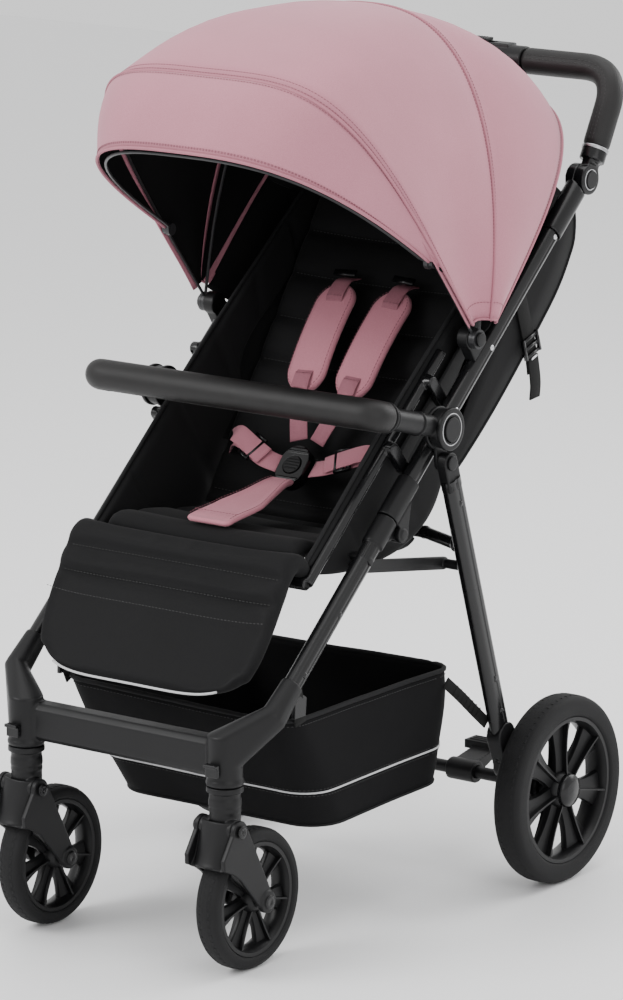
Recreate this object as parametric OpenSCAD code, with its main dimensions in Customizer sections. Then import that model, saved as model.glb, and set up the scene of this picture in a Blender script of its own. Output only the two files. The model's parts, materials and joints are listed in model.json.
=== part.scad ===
// Folding baby stroller: a tube frame with a seat, canopy, basket, swivelling front casters
// and braked rear wheels. X runs to the child's left-hand side, the front faces -Y, and Z is up.
// The origin lies on the ground under the middle of the stroller. All sizes are in millimetres.

/* [Frame] */
// Distance from the middle plane to each side tube
frame_half = 192; // [186:1:196]
// Width of a side tube across the stroller
tube_w = 20; // [18:1:20]
// Depth of a side tube in its own plane
tube_h = 24; // [20:1:24]
// Wall of the moulded sleeves round the tubes
sleeve_wall = 2.3; // [1.8:0.1:2.3]

/* [Wheels] */
// Diameter of the front wheels
front_wheel_d = 170; // [164:1:170]
// Width of a front tyre
front_tyre_w = 32; // [26:1:32]
// Distance from the middle plane to each front wheel
front_track_half = 149; // [146:1:152]
// Diameter of the rear wheels
rear_wheel_d = 236; // [224:1:236]
// Width of a rear tyre
rear_tyre_w = 38; // [30:1:38]
// Distance from the middle plane to each rear wheel
rear_track_half = 248; // [247:1:252]
// Number of spokes in each wheel
spoke_count = 8; // [6:1:8]

/* [Seat] */
// Half the width of the seat cushion
seat_half = 146; // [138:1:146]
// Thickness of the backrest cushion
back_thick = 28; // [20:1:28]
// Length of the backrest
back_length = 470; // [440:5:470]
// Angle of the backrest above level
back_angle = 55; // [55:0.5:57]

/* [Bumper bar and handle] */
// Radius of the padded bumper bar
bumper_r = 19; // [16:1:19]
// Radius of the handle grip
grip_r = 17; // [14:1:17]
// Length of the handle from its tilt joint to its crossbar
handle_reach = 145; // [135:1:145]

/* [Fabric] */
// Thickness of the canopy fabric with its lining
cloth = 2.5; // [2:0.1:3]
// Thickness of the basket walls
basket_wall = 3.5; // [3:0.1:4]

/* [Hidden] */
$fn = 48;

// Fits
run_gap = 0.06;       // radial clearance of a pin that turns in its bore
seat_gap = 0.05;      // clearance of a tube that is fixed in a sleeve
side_gap = 0.4;       // clearance between faces that turn past each other

// Points of the side view, each [y, z]
bridge_end = [-317, 314];      // lower end of the front leg
handle_pivot = [312, 858];     // tilt joint of the handle
fold_pivot = [-80, 485];       // hinge between front leg and pusher tube
rear_pivot = [-4, 560];        // hinge at the top of the rear leg
hub = [-11, 603];              // bumper bar hinge
canopy_pivot = [70, 697];      // hinge of the canopy bows
visor_pivot = [-15, 801];      // hinge of the visor wire, on the front bow
brace_front = [-135, 452];     // brace hinge on the front leg
brace_rear = [48, 421];        // open end of the brace, beside the rear leg
leg_foot = [124, 166];         // lower end of the rear leg tube
rear_axle_at = [189.5, 118];
front_axle_at = [-314, front_wheel_d / 2];
stem_at = -357;                // y of the swivel axis of a caster
fork_pivot = [-366, 182];      // hinge of the sprung fork
crease = [-17, 472];           // where seat and backrest meet
recline_pivot = [-17, 462];
footrest_pivot = [-221, 447];

// The side tubes lie on one line from bridge_end to handle_pivot
tube_slope = atan2(handle_pivot[1] - bridge_end[1], handle_pivot[0] - bridge_end[0]);
joint_at = 291.1;              // distance along the line to the fold joint
function along(s, d = 0) = [
    bridge_end[0] + s * cos(tube_slope) - d * sin(tube_slope),
    bridge_end[1] + s * sin(tube_slope) + d * cos(tube_slope)
];
// A point of the backrest: l up along its face, n behind it
function back_at(l, n = 0) = [
    crease[0] + l * cos(back_angle) + n * sin(back_angle),
    crease[1] + l * sin(back_angle) - n * cos(back_angle)
];
// Superellipse arch in a plane through the X line at [y0, z0], leaning forward by theta
function power(v, n) = sign(v) * pow(abs(v), 2 / n);
function arch_point(u, theta, h, a, n, at) = let (t = 180 * u) [
    a * power(cos(t), n),
    at[0] - h * power(sin(t), n) * cos(theta),
    at[1] + h * power(sin(t), n) * sin(theta)
];

// Canopy arches: [lean, height, half width, power]
front_arch = [51, 427, 210, 4.2];
middle_arch = [99, 386, 222, 2.42];
rear_arch = [134, 363, 218, 3.9];
visor_arch = [31.2, 277, 197, 2.95];
arch_steps = 36;

black = [0.035, 0.035, 0.04];
fabric_black = [0.05, 0.05, 0.055];
pink = [0.78, 0.55, 0.60];
metal = [0.09, 0.09, 0.10];
rubber = [0.06, 0.06, 0.06];

// ---------- helpers ----------
module on_side(side) { mirror([side < 0 ? 1 : 0, 0, 0]) children(); }
module both_sides() { for (side = [-1, 1]) on_side(side) children(); }
module stadium(w, h) {
    square([w, h - w], center = true);
    for (s = [-1, 1]) translate([0, s * (h - w) / 2]) circle(d = w);
}
// Oval bar from p to q in the side view, centred on x
module bar(p, q, x, w, h) {
    translate([x, p[0], p[1]])
        rotate([atan2(p[0] - q[0], q[1] - p[1]), 0, 0])
            linear_extrude(norm(q - p)) stadium(w, h);
}
// Disc or pin on the X direction from x0 to x1
module disc(x0, x1, at, r) {
    translate([x0, at[0], at[1]]) rotate([0, 90, 0]) cylinder(h = x1 - x0, r = r);
}
// Side-view outline extruded from x0 to x1
module plate(x0, x1) {
    translate([x0, 0, 0]) rotate([90, 0, 90]) linear_extrude(x1 - x0) children();
}
// Side-view outline with round ends, from p to q
module rounded(p, q, r) {
    d = (q - p) / norm(q - p);
    n = [-d[1], d[0]] * r;
    polygon([p + n, q + n, q - n, p - n]);
    translate(p) circle(r = r);
    translate(q) circle(r = r);
}
module rod(p, q, r) {
    d = q - p;
    translate(p)
        rotate([0, acos(d[2] / norm(d)), atan2(d[1], d[0])])
            cylinder(h = norm(d), r = r);
}
// U-shaped round bar in a plane through X that rises at `lean` from `at`
module u_bar(at, lean, half, reach, corner, r, start) {
    translate([0, at[0], at[1]]) rotate([lean, 0, 0]) {
        both_sides() {
            translate([half, start, 0]) rotate([-90, 0, 0]) cylinder(h = reach - corner - start, r = r);
            translate([half - corner, reach - corner, 0])
                rotate_extrude(angle = 90) translate([corner, 0]) circle(r = r);
        }
        translate([corner - half, reach, 0]) rotate([0, 90, 0])
            cylinder(h = 2 * (half - corner), r = r);
    }
}
// Round wire of radius r along an arch, with a straight foot at each end that starts
// `foot` up from the hinge at half width `foot_x`, as one closed tube
module arch_wire(arch, at, r, u0, foot_x, foot) {
    sides = 8;
    rings = arch_steps + 2;
    us = [for (i = [0 : arch_steps]) u0 + (1 - 2 * u0) * i / arch_steps];
    foot_yz = [at[0] - foot * cos(arch[0]), at[1] + foot * sin(arch[0])];
    centre = concat([[foot_x, each foot_yz]],
        [for (u = us) arch_point(u, arch[0], arch[1], arch[2], arch[3], at)],
        [[-foot_x, each foot_yz]]);
    across = [0, sin(arch[0]), cos(arch[0])];
    points = [for (i = [0 : rings]) let (
            ahead = centre[min(i + 1, rings)] - centre[max(i - 1, 0)],
            side = cross(ahead / norm(ahead), across))
        for (k = [0 : sides - 1])
            centre[i] + r * (cos(360 * k / sides) * side + sin(360 * k / sides) * across)];
    faces = [for (i = [0 : rings - 1], k = [0 : sides - 1]) let (
            a = i * sides + k, b = i * sides + (k + 1) % sides)
        [a, b, b + sides, a + sides]];
    polyhedron(points, concat(faces, [[for (k = [sides - 1 : -1 : 0]) k]],
        [[for (k = [0 : sides - 1]) rings * sides + k]]), convexity = 6);
}
// Closed sheet between two curves, given as lists of outer and inner points per row
module sheet(outer, inner) {
    rows = len(outer);
    cols = len(outer[0]);
    points = concat([for (row = outer) each row], [for (row = inner) each row]);
    half = rows * cols;
    quads = [for (i = [0 : rows - 2], k = [0 : cols - 2]) let (a = i * cols + k)
        [a, a + 1, a + cols + 1, a + cols]];
    back = [for (q = quads) [q[3] + half, q[2] + half, q[1] + half, q[0] + half]];
    ends = [for (k = [0 : cols - 2]) each [
        [k + half, k + 1 + half, k + 1, k],
        let (a = (rows - 1) * cols + k) [a, a + 1, a + 1 + half, a + half]]];
    sides = [for (i = [0 : rows - 2]) let (a = i * cols, b = i * cols + cols - 1) each [
        [a, a + cols, a + cols + half, a + half],
        [b + half, b + cols + half, b + cols, b]]];
    polyhedron(points, concat(quads, back, ends, sides), convexity = 8);
}
// One row of a canopy panel at share v between two arches, shrunk by `inset`
function panel_row(a, b, v, inset, u0) = let (m = a + (b - a) * v) [
    for (i = [0 : arch_steps]) let (u = u0 + (1 - 2 * u0) * i / arch_steps)
        arch_point(u, m[0], m[1] - inset, m[2] - inset, m[3], canopy_pivot)];
module canopy_panel(a, b, steps, from, to, u0) {
    vs = [for (i = [0 : steps]) from + (to - from) * i / steps];
    sheet([for (v = vs) panel_row(a, b, v, 0, u0)], [for (v = vs) panel_row(a, b, v, cloth, u0)]);
}

// ---------- upper frame ----------
module pusher_tube(side) {
    color(metal) on_side(side)
        bar(along(joint_at + 6), along(812), frame_half, tube_w, tube_h);
}
module tube_hole(from, to) {
    bar(along(from), along(to), frame_half, tube_w + 2 * seat_gap, tube_h + 2 * seat_gap);
}
lug_r = 10.6;
pin_r = 5;
cheek = [frame_half - 13, frame_half - 6.5];
module sleeves() {
    color(black) both_sides() {
        difference() {
            union() {
                bar(along(joint_at + 0.7), along(350), frame_half, tube_w + 3 * sleeve_wall,
                    tube_h + 2 * sleeve_wall);
                // two cheeks, alike on both sides of the tube's own middle plane
                for (m = [0, 1]) translate([m * 2 * frame_half, 0, 0]) mirror([m, 0, 0])
                    plate(cheek[0], cheek[1]) {
                        translate(fold_pivot) circle(r = lug_r);
                        polygon([fold_pivot + [-2, 4], along(joint_at + 0.7, -8),
                            along(joint_at + 36, -8), fold_pivot + [8, -7]]);
                    }
            }
            tube_hole(joint_at + 5.9, 351);
        }
        disc(cheek[0] + 1, 2 * frame_half - cheek[0] - 1, fold_pivot, pin_r);
        disc(2 * frame_half - cheek[0], 2 * frame_half - cheek[0] + 1.6, fold_pivot, 6.5);
    }
}
hub_plate = [202.3, 207.4];
hub_cap = [220.9, 226];
module hub_side(side) {
    color(black) on_side(side) {
        plate(hub_plate[0], hub_plate[1]) {
            translate(hub) circle(r = 26);
            rounded(hub + [2, -8], rear_pivot, 11);
        }
        disc(hub_plate[0] + 1, hub_cap[0] + 0.5, hub, 8);
        disc(hub_plate[0] + 1, 223, rear_pivot, pin_r);
        disc(220.9, 223.4, rear_pivot, 9);
        difference() {
            disc(hub_cap[0], hub_cap[1], hub, 26);
            disc(hub_cap[0] + 1.2, hub_cap[1] + 1, hub, 15.2);
        }
    }
}
module bumper_button(side) {
    color(metal) on_side(side) disc(hub_cap[1] - 1.2, hub_cap[1] + 1.8, hub, 14.8);
}
module handle_joints() {
    color(black) both_sides() {
        difference() {
            union() {
                bar(along(742), along(818), frame_half, tube_w + 3 * sleeve_wall, tube_h + 5);
                disc(frame_half - 12, frame_half + 0.6, handle_pivot, 19);
            }
            tube_hole(741, 812.1);
            disc(frame_half + 0.6, frame_half + 30, handle_pivot, 20);
        }
        disc(frame_half, frame_half + 8, handle_pivot, 6);
    }
}
module canopy_clips() {
    color(black) both_sides() {
        difference() {
            plate(184, 199.5) {
                translate(canopy_pivot) circle(r = 14);
                polygon([along(528, 11), along(560, 11), canopy_pivot + [13, 2],
                    canopy_pivot + [-13, -2]]);
            }
            tube_hole(500, 600);
        }
        disc(198, 212, canopy_pivot, pin_r);
        disc(209, 212.4, canopy_pivot, 9);
    }
}
seat_tube_x = 167;
module seat_frame() {
    color(metal) {
        both_sides() {
            rod([seat_tube_x, each along(159.6, 38)], [seat_tube_x, each along(516, 38)], 7);
            for (s = [366, 470])
                plate(seat_tube_x + 4, frame_half - tube_w / 2 - 0.05)
                    rounded(along(s, 4), along(s, 38), 8);
        }
        rod([-seat_tube_x, each along(159.6, 38)], [seat_tube_x, each along(159.6, 38)], 8);
    }
}

// ---------- seat ----------
module seat_base() {
    color(fabric_black) plate(-seat_half, seat_half)
        polygon([[-206, 470], [-205, 456], [-22, 438], [-20, 466], [-190, 486], [-203, 481]]);
}
module side_wings() {
    color(fabric_black) both_sides() plate(148.5, 158.5)
        polygon([along(172, 50), along(516, 50), along(516, 6), along(452, -14), [78, 545],
            [74, 520], [50, 478], [0, 441], [-120, 438], [-203, 452]]);
}
module backrest() {
    color(fabric_black) {
        plate(-seat_half, seat_half)
            polygon([back_at(12), back_at(back_length), back_at(back_length, back_thick),
                back_at(14, back_thick)]);
        // the hem that the backrest turns on, with the cloth up to the cushion
        disc(-seat_half, seat_half, recline_pivot, 2.4);
        plate(-seat_half, seat_half)
            polygon([recline_pivot + [-2, 1], back_at(13, 6), back_at(14, 16), recline_pivot + [2, -1]]);
    }
}
module back_shell() {
    color(fabric_black) difference() {
        plate(-140, 140) polygon([back_at(166, back_thick + 0.3), back_at(162, 71),
            back_at(385, 135), back_at(460, 130), back_at(496, 92),
            back_at(468, back_thick + 0.3)]);
        plate(-136, 136) polygon([back_at(171, back_thick - 1), back_at(167, 68),
            back_at(387, 131), back_at(458, 126), back_at(491, 90),
            back_at(463, back_thick - 1)]);
    }
}
module recline_strap() {
    color(black) {
        plate(-12.5, 12.5) polygon([back_at(250, 97.5), back_at(384, 136), back_at(384, 138),
            back_at(250, 99.5)]);
        plate(-17, 17) polygon([back_at(290, 110.7), back_at(330, 122.2), back_at(328, 130.4),
            back_at(288, 118.9)]);
    }
}
pad_low = [58, 620];
pad_high = [138, 712];
module shoulder_harness() {
    color(pink) both_sides() {
        hull() {
            translate([36, each pad_low]) rotate([back_angle - 8, 0, 0]) cylinder(h = 10, r = 23, $fn = 32);
            translate([43, each pad_high]) rotate([back_angle - 8, 0, 0]) cylinder(h = 10, r = 23, $fn = 32);
        }
        plate(33, 53) polygon([pad_high + [10, 12], pad_high + [26, 28], pad_high + [23, 31],
            pad_high + [8, 15]]);
    }
}
module crotch_harness() {
    color(pink) difference() {
        crotch_straps();
        buckle_frame() linear_extrude(17, center = true) stadium(41, 57);
    }
}
module crotch_straps() {
    union() {
        hull() {
            translate([0, -196, 497]) cube([52, 6, 4], center = true);
            translate([0, -60, 520]) cube([56, 6, 5], center = true);
        }
        hull() {
            translate([0, -60, 520]) cube([56, 6, 5], center = true);
            translate([0, -44, 523]) cube([30, 6, 5], center = true);
        }
        both_sides() hull() {
            translate([31, -18, 530]) cube([3, 6, 26], center = true);
            translate([92, -4, 549]) cube([3, 6, 26], center = true);
        }
        both_sides() hull() {
            translate([10, -6, 545]) cube([22, 3, 3], center = true);
            translate([33, 40, 596]) cube([24, 3, 3], center = true);
        }
    }
}
module buckle_frame() {
    translate([0, -20, 528]) rotate([48, 0, 0]) children();
}
module buckle() {
    color(black) buckle_frame() difference() {
        linear_extrude(16, center = true) stadium(40, 56);
        translate([0, 0, 4]) cylinder(h = 10, r = 12.2);
    }
}
module buckle_button() {
    color(metal) buckle_frame() translate([0, 0, 6.5]) cylinder(h = 3, r = 12);
}

// ---------- front frame ----------
module front_leg(side) {
    color(metal) on_side(side) difference() {
        union() {
            bar(along(14), along(joint_at - 0.7), frame_half, tube_w, tube_h);
            bar(along(252), along(joint_at - 0.7), frame_half, 27, 27.2);
            plate(cheek[1] + 0.3, 2 * frame_half - cheek[1] - 0.3) {
                translate(fold_pivot) circle(r = lug_r);
                polygon([fold_pivot + [-4, 5], along(joint_at - 0.7, -8),
                    along(joint_at - 30, -8), fold_pivot + [-9, -5]]);
            }
            plate(176, frame_half - 6) rounded(along(228, 2), brace_front, 9);
            disc(168, 177, brace_front, 4);
            disc(167, 169.8, brace_front, 6.5);
            disc(201, 203.6, along(228), 5);
        }
        disc(150, 230, fold_pivot, pin_r + run_gap);
    }
}
module front_bridge() {
    color(black) difference() {
        union() {
            plate(-128, 128) {
                translate([-347, 268]) circle(r = 14);
                translate([-347, 258]) circle(r = 14);
                translate([-361, 258]) square([28, 10]);
            }
            both_sides() {
                translate([front_track_half, stem_at, 232]) cylinder(h = 56, r = 21);
                hull() {
                    translate([front_track_half, stem_at, 256])
                        cylinder(h = 36, r = 21, $fn = 32);
                    bar(along(-8), along(0), frame_half, 28, 34);
                }
                hull() {
                    bar(along(-8), along(0), frame_half, 28, 34);
                    bar(along(40), along(44), frame_half, 24, 29);
                }
                hull() {
                    translate([125, -347, 268]) rotate([0, 90, 0]) cylinder(h = 4, r = 14, $fn = 32);
                    translate([125, -347, 258]) rotate([0, 90, 0]) cylinder(h = 4, r = 14, $fn = 32);
                    translate([front_track_half, stem_at, 244]) cylinder(h = 44, r = 20, $fn = 32);
                }
            }
        }
        both_sides() {
            translate([front_track_half, stem_at, 200]) cylinder(h = 64, r = 6 + run_gap);
            tube_hole(13.9, 60);
        }
    }
}
module caster_frame(side) { on_side(side) translate([front_track_half, 0, 0]) children(); }
module caster_stem(side) {
    color(black) caster_frame(side) {
        translate([0, stem_at, 231]) cylinder(h = 31, r = 6);
        translate([0, stem_at, 225]) cylinder(h = 6.6, r = 22);
        translate([0, stem_at, 180]) cylinder(h = 46, r = 18.5);
        disc(-23, 23, fork_pivot, 9);
        for (m = [-1, 1]) mirror([m < 0 ? 1 : 0, 0, 0]) {
            disc(22, 30.6, fork_pivot, 4);
            disc(29.9, 32.4, fork_pivot, 7);
        }
    }
}
module caster_fork(side) {
    color(black) caster_frame(side) {
        for (m = [-1, 1]) mirror([m < 0 ? 1 : 0, 0, 0]) difference() {
            union() {
                plate(23.8, 29.6) {
                    translate(fork_pivot) circle(r = 13);
                    polygon([[-379, 180], [-397, 153], [-396, 141], [-380, 134], [-366, 124],
                        [-324, 77.5], [-303.5, 90.5], [-353.5, 186]]);
                    translate(front_axle_at) circle(r = 12.5);
                }
                disc(29, 33, front_axle_at, 8);
            }
            disc(20, 40, fork_pivot, 4 + run_gap);
        }
        intersection() {
            difference() {
                disc(-24.5, 24.5, front_axle_at, 95);
                disc(-25, 25, front_axle_at, 90);
            }
            plate(-24.5, 24.5) polygon([[-400, 141], [-380, 134], [-350, 160], [-350, 190], [-400, 190]]);
        }
        disc(-30, 30, front_axle_at, 5);
    }
}
module wheel_rim(r, w, hub_r, bore_r, hub_w) {
    rotate([0, 90, 0]) difference() {
        union() {
            cylinder(h = hub_w, r = hub_r, center = true);
            difference() {
                cylinder(h = w, r = r, center = true);
                cylinder(h = w + 2, r = r - 5, center = true);
            }
            for (i = [0 : spoke_count - 1]) rotate([0, 0, 360 * i / spoke_count])
                linear_extrude(w * 0.5, center = true)
                    polygon([[0, -hub_r * 0.30], [r - 3, -r * 0.13], [r - 3, r * 0.13],
                        [0, hub_r * 0.30]]);
        }
        cylinder(h = 2 * hub_w, r = bore_r, center = true);
    }
}
module wheel_tyre(r_in, r_out, w) {
    rotate([0, 90, 0]) rotate_extrude($fn = 96) {
        translate([r_in, -w / 2]) square([(r_out - r_in) - 8, w]);
        translate([r_in, 8 - w / 2]) square([r_out - r_in, w - 16]);
        for (s = [-1, 1]) translate([r_out - 8, s * (w / 2 - 8)]) circle(r = 8);
    }
}
module front_rim(side) {
    color(black) caster_frame(side) translate([0, each front_axle_at])
        wheel_rim(front_wheel_d / 2 - 17, front_tyre_w - 6, 17, 5 + run_gap, 34);
}
module front_tyre(side) {
    color(rubber) caster_frame(side) translate([0, each front_axle_at])
        wheel_tyre(front_wheel_d / 2 - 16.95, front_wheel_d / 2, front_tyre_w);
}
module swivel_lock(side) {
    color(metal) caster_frame(side) translate([0, stem_at - 21.4, 246]) {
        translate([-9, -5, 0]) cube([18, 5, 16]);
        translate([-9, -9, 12]) cube([18, 5, 4]);
    }
}

// ---------- rear frame ----------
leg_x = 214;
leg_w = 18;
leg_h = 28;
function leg_at(t) = rear_pivot + t * (leg_foot - rear_pivot) / norm(leg_foot - rear_pivot);
leg_length = norm(leg_foot - rear_pivot);
module rear_leg(side) {
    color(metal) on_side(side) difference() {
        union() {
            bar(leg_at(26), leg_at(leg_length), leg_x, leg_w, leg_h);
            plate(hub_plate[1] + side_gap, 220.5) rounded(rear_pivot, leg_at(32), 13);
        }
        disc(200, 230, rear_pivot, pin_r + run_gap);
    }
}
bar_end = [31, 452];
bar_mid = [43, 457];
module rear_cross_bar() {
    color(metal) {
        rod([-150, each bar_mid], [150, each bar_mid], 7.5);
        both_sides() {
            rod([149, each bar_mid], [leg_x - leg_w / 2 - 2, each bar_end], 7.5);
            disc(leg_x - leg_w / 2 - 4, leg_x - leg_w / 2 - 0.05, bar_end, 9.5);
            translate([149.5, each bar_mid]) sphere(r = 8.6);
        }
    }
}
module rear_axle() {
    color(black) {
        disc(-222, 222, rear_axle_at, 8);
        both_sides() difference() {
            union() {
                plate(204.4, 225) {
                    translate(rear_axle_at) circle(r = 24);
                    rounded(rear_axle_at, leg_foot + [6, -8], 19);
                    rounded(leg_foot + [6, -8], leg_at(leg_length - 34), 17);
                }
                disc(190, 206, rear_axle_at, 17);
                disc(224, 263, rear_axle_at, 6);
            }
            bar(leg_at(80), leg_at(leg_length + 0.1), leg_x, leg_w + 2 * seat_gap,
                leg_h + 2 * seat_gap);
        }
    }
}
module rear_rim(side) {
    color(black) on_side(side) translate([rear_track_half, each rear_axle_at]) {
        wheel_rim(rear_wheel_d / 2 - 27, rear_tyre_w - 8, 24, 6 + run_gap, 36);
        disc(17, 24, [0, 0], 24);
    }
}
module rear_tyre(side) {
    color(rubber) on_side(side) translate([rear_track_half, each rear_axle_at])
        wheel_tyre(rear_wheel_d / 2 - 26.95, rear_wheel_d / 2, rear_tyre_w);
}
module brake_pedal() {
    color(black) difference() {
        union() {
            disc(88, 128, rear_axle_at, 14);
            plate(92, 124) polygon([rear_axle_at + [0, 12], rear_axle_at + [58, 22],
                rear_axle_at + [60, 15], rear_axle_at + [8, -6]]);
            plate(80, 136) polygon([rear_axle_at + [40, 26], rear_axle_at + [66, 26],
                rear_axle_at + [66, 15], rear_axle_at + [40, 15]]);
        }
        disc(60, 150, rear_axle_at, 8 + run_gap);
    }
}
module brace(side) {
    color(black) on_side(side) difference() {
        union() {
            plate(170.2, 175.6) rounded(brace_front, brace_rear, 8);
            disc(175, leg_x - leg_w / 2 - 0.6, brace_rear, 6);
        }
        disc(160, 180, brace_front, 4 + run_gap);
    }
}

// ---------- handle ----------
handle_lean = 61.1;
handle_x = 199;
crossbar = handle_pivot + handle_reach * [cos(handle_lean), sin(handle_lean)];
module handle_tube() {
    color(metal) {
        u_bar(handle_pivot, handle_lean, handle_x, handle_reach, 55, 10.5, 22);
        translate([0, each handle_pivot]) rotate([handle_lean, 0, 0]) both_sides() {
            translate([handle_x, 24, 0]) rotate([-90, 0, 0]) cylinder(h = 17, r = 16);
            translate([frame_half + 1, 12, -12]) cube([12, 14, 24]);
        }
        both_sides() difference() {
            disc(frame_half + 1, 206, handle_pivot, 19);
            disc(frame_half, 201, handle_pivot, 6 + run_gap);
            disc(200.5, 210, handle_pivot, 11.2);
        }
    }
}
module handle_grip() {
    color(fabric_black) difference() {
        u_bar(handle_pivot, handle_lean, handle_x, handle_reach, 55, grip_r, 41.1);
        u_bar(handle_pivot, handle_lean, handle_x, handle_reach, 55, 10.5 + seat_gap, 30);
        disc(-62, 62, crossbar, 30);
    }
}
module handle_module() {
    color(black) difference() {
        union() {
            disc(-61.9, 61.9, crossbar, 18);
            plate(-50, 50) polygon([crossbar + [-17, 2], crossbar + [-14, -22],
                crossbar + [14, -22], crossbar + [17, 2]]);
            plate(-40, 40) polygon([crossbar + [-12, 8], crossbar + [-10, 20],
                crossbar + [10, 20], crossbar + [12, 8]]);
        }
        disc(-70, 70, crossbar, 10.5 + seat_gap);
        for (x = [-22, 22]) translate([x, crossbar[0], crossbar[1] - 24]) cylinder(h = 10, r = 4.06);
        translate([-16, crossbar[0] - 4.2, crossbar[1] + 15]) cube([32, 8.4, 6]);
    }
}
module fold_trigger() {
    color(black) {
        plate(-44, 44) polygon([crossbar + [-11, -31], crossbar + [-8, -40],
            crossbar + [8, -40], crossbar + [11, -31]]);
        for (x = [-22, 22]) translate([x, crossbar[0], crossbar[1] - 32]) cylinder(h = 11, r = 4);
    }
}
module fold_slider() {
    color(metal) {
        translate([-15.5, crossbar[0] - 4, crossbar[1] + 15.4]) cube([18, 8, 6]);
        translate([-19, crossbar[0] - 8, crossbar[1] + 20.4]) cube([25, 16, 4]);
    }
}
module tilt_button(side) {
    color(black) on_side(side) disc(205, 208.6, handle_pivot, 11);
}

// ---------- bumper bar ----------
bumper_lean = 164.3;
module bumper_bar() {
    color(fabric_black) difference() {
        union() {
            u_bar(hub, bumper_lean, 206, 140, 30, bumper_r, 110);
            translate([0, each hub]) rotate([bumper_lean, 0, 0]) both_sides()
                translate([206, 28, 0]) rotate([-90, 0, 0]) cylinder(h = 83, r = 13.5);
            both_sides() {
                disc(hub_plate[1] + side_gap, hub_cap[0] - side_gap, hub, 24);
                intersection() {
                    translate([0, each hub]) rotate([bumper_lean, 0, 0])
                        translate([206, 8, 0]) rotate([-90, 0, 0]) cylinder(h = 24, r = 13.5);
                    disc(hub_plate[1] + side_gap, hub_cap[0] - side_gap, hub, 40);
                }
            }
        }
        both_sides() disc(195, 230, hub, 8 + run_gap);
    }
}

// ---------- canopy ----------
module bow_end(x0, x1) {
    difference() {
        disc(x0, x1, canopy_pivot, 12);
        disc(x0 - 1, x1 + 1, canopy_pivot, pin_r + run_gap);
    }
}
module canopy_bow_front() {
    color(metal) {
        arch_wire([front_arch[0], 418, 202, front_arch[3]], canopy_pivot, 1.9, 0.0007, 202, 9);
        both_sides() {
            bow_end(200, 204);
            disc(196.6, 202, visor_pivot, 6);
            disc(190.4, 197, visor_pivot, 3);
        }
    }
}
module canopy_bow_middle() {
    color(metal) {
        arch_wire([middle_arch[0], 378, 206.4, middle_arch[3]], canopy_pivot, 2, 0.006, 206.5, 9);
        both_sides() bow_end(204.4, 208.6);
    }
}
module canopy_front() {
    color(pink) canopy_panel(front_arch, middle_arch, 8, 0, 1, 0.012);
}
module canopy_rear() {
    color(pink) canopy_panel(middle_arch, rear_arch, 6, 0.03, 1, 0.012);
}
function visor_row(v, inset) = [for (i = [0 : arch_steps]) let (
        u = 0.5 / arch_steps + (1 - 1 / arch_steps) * i / arch_steps,
        bow_u = 0.032 + 0.936 * u,
        top = arch_point(bow_u, front_arch[0], front_arch[1] - inset, front_arch[2] - inset,
            front_arch[3], canopy_pivot),
        low = arch_point(u, visor_arch[0], visor_arch[1] - inset, visor_arch[2] - inset,
            visor_arch[3], visor_pivot),
        swell = 14 * sin(180 * v) * sin(180 * u) * [0, -0.6, 0.8])
    top + (low - top) * v + swell];
module visor() {
    vs = [0.04, 0.25, 0.5, 0.75, 1];
    color(pink) sheet([for (v = vs) visor_row(v, cloth)], [for (v = vs) visor_row(v, 0)]);
}
module visor_wire() {
    color(metal) {
        arch_wire([visor_arch[0], 268, 188, visor_arch[3]], visor_pivot, 2, 0.004, 193.4, 4.6);
        both_sides() difference() {
            disc(190.6, 196.2, visor_pivot, 7.5);
            disc(185, 199, visor_pivot, 3 + run_gap);
        }
    }
}

// ---------- footrest and basket ----------
module footrest() {
    color(fabric_black) difference() {
        plate(-168, 168)
            polygon([[-228, 474], [-238, 482], [-250, 476], [-302, 392], [-344, 322],
                [-340, 310], [-326, 312], [-282, 384], [-232, 434], [-206, 438], [-205, 450]]);
        disc(-170, 170, footrest_pivot, 8.5);
        both_sides() {
            plate(148, 190) polygon([[-226, 470], [-190, 470], [-190, 420], [-262, 420]]);
            plate(124, 190) polygon([[-360, 336], [-300, 336], [-300, 300], [-360, 300]]);
        }
    }
}
basket_outline = [[-183, 134], [83, 141], [80, 285], [-268, 294]];
module basket() {
    w = basket_wall;
    color(fabric_black) difference() {
        plate(-172, 172) polygon(basket_outline);
        plate(w - 172, 172 - w) polygon([basket_outline[0] + [w, w], basket_outline[1] + [-w, w],
            basket_outline[2] + [-w, 2], basket_outline[3] + [2 * w, 2]]);
    }
}
module basket_straps() {
    color(black) both_sides() {
        rod([174.9, 62, 262], [202.2, 98, 218], 3);
        rod([175.2, -240, 282], [181.5, -262, 346], 3);
    }
}

pusher_tube(-1);  // pusher_tube_left
pusher_tube(1);  // pusher_tube_right
sleeves();
hub_side(-1);  // hub_left
hub_side(1);  // hub_right
handle_joints();
canopy_clips();
seat_frame();
seat_base();
side_wings();
canopy_rear();
crotch_harness();
buckle();
buckle_button();
backrest();
back_shell();
shoulder_harness();
recline_strap();
front_leg(-1);  // front_leg_left
front_leg(1);  // front_leg_right
front_bridge();
caster_stem(-1);  // caster_stem_left
caster_stem(1);  // caster_stem_right
caster_fork(-1);  // caster_fork_left
caster_fork(1);  // caster_fork_right
front_rim(-1);  // front_rim_left
front_rim(1);  // front_rim_right
front_tyre(-1);  // front_tyre_left
front_tyre(1);  // front_tyre_right
swivel_lock(-1);  // swivel_lock_left
swivel_lock(1);  // swivel_lock_right
rear_leg(-1);  // rear_leg_left
rear_leg(1);  // rear_leg_right
rear_cross_bar();
rear_axle();
rear_rim(-1);  // rear_rim_left
rear_rim(1);  // rear_rim_right
rear_tyre(-1);  // rear_tyre_left
rear_tyre(1);  // rear_tyre_right
brake_pedal();
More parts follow.
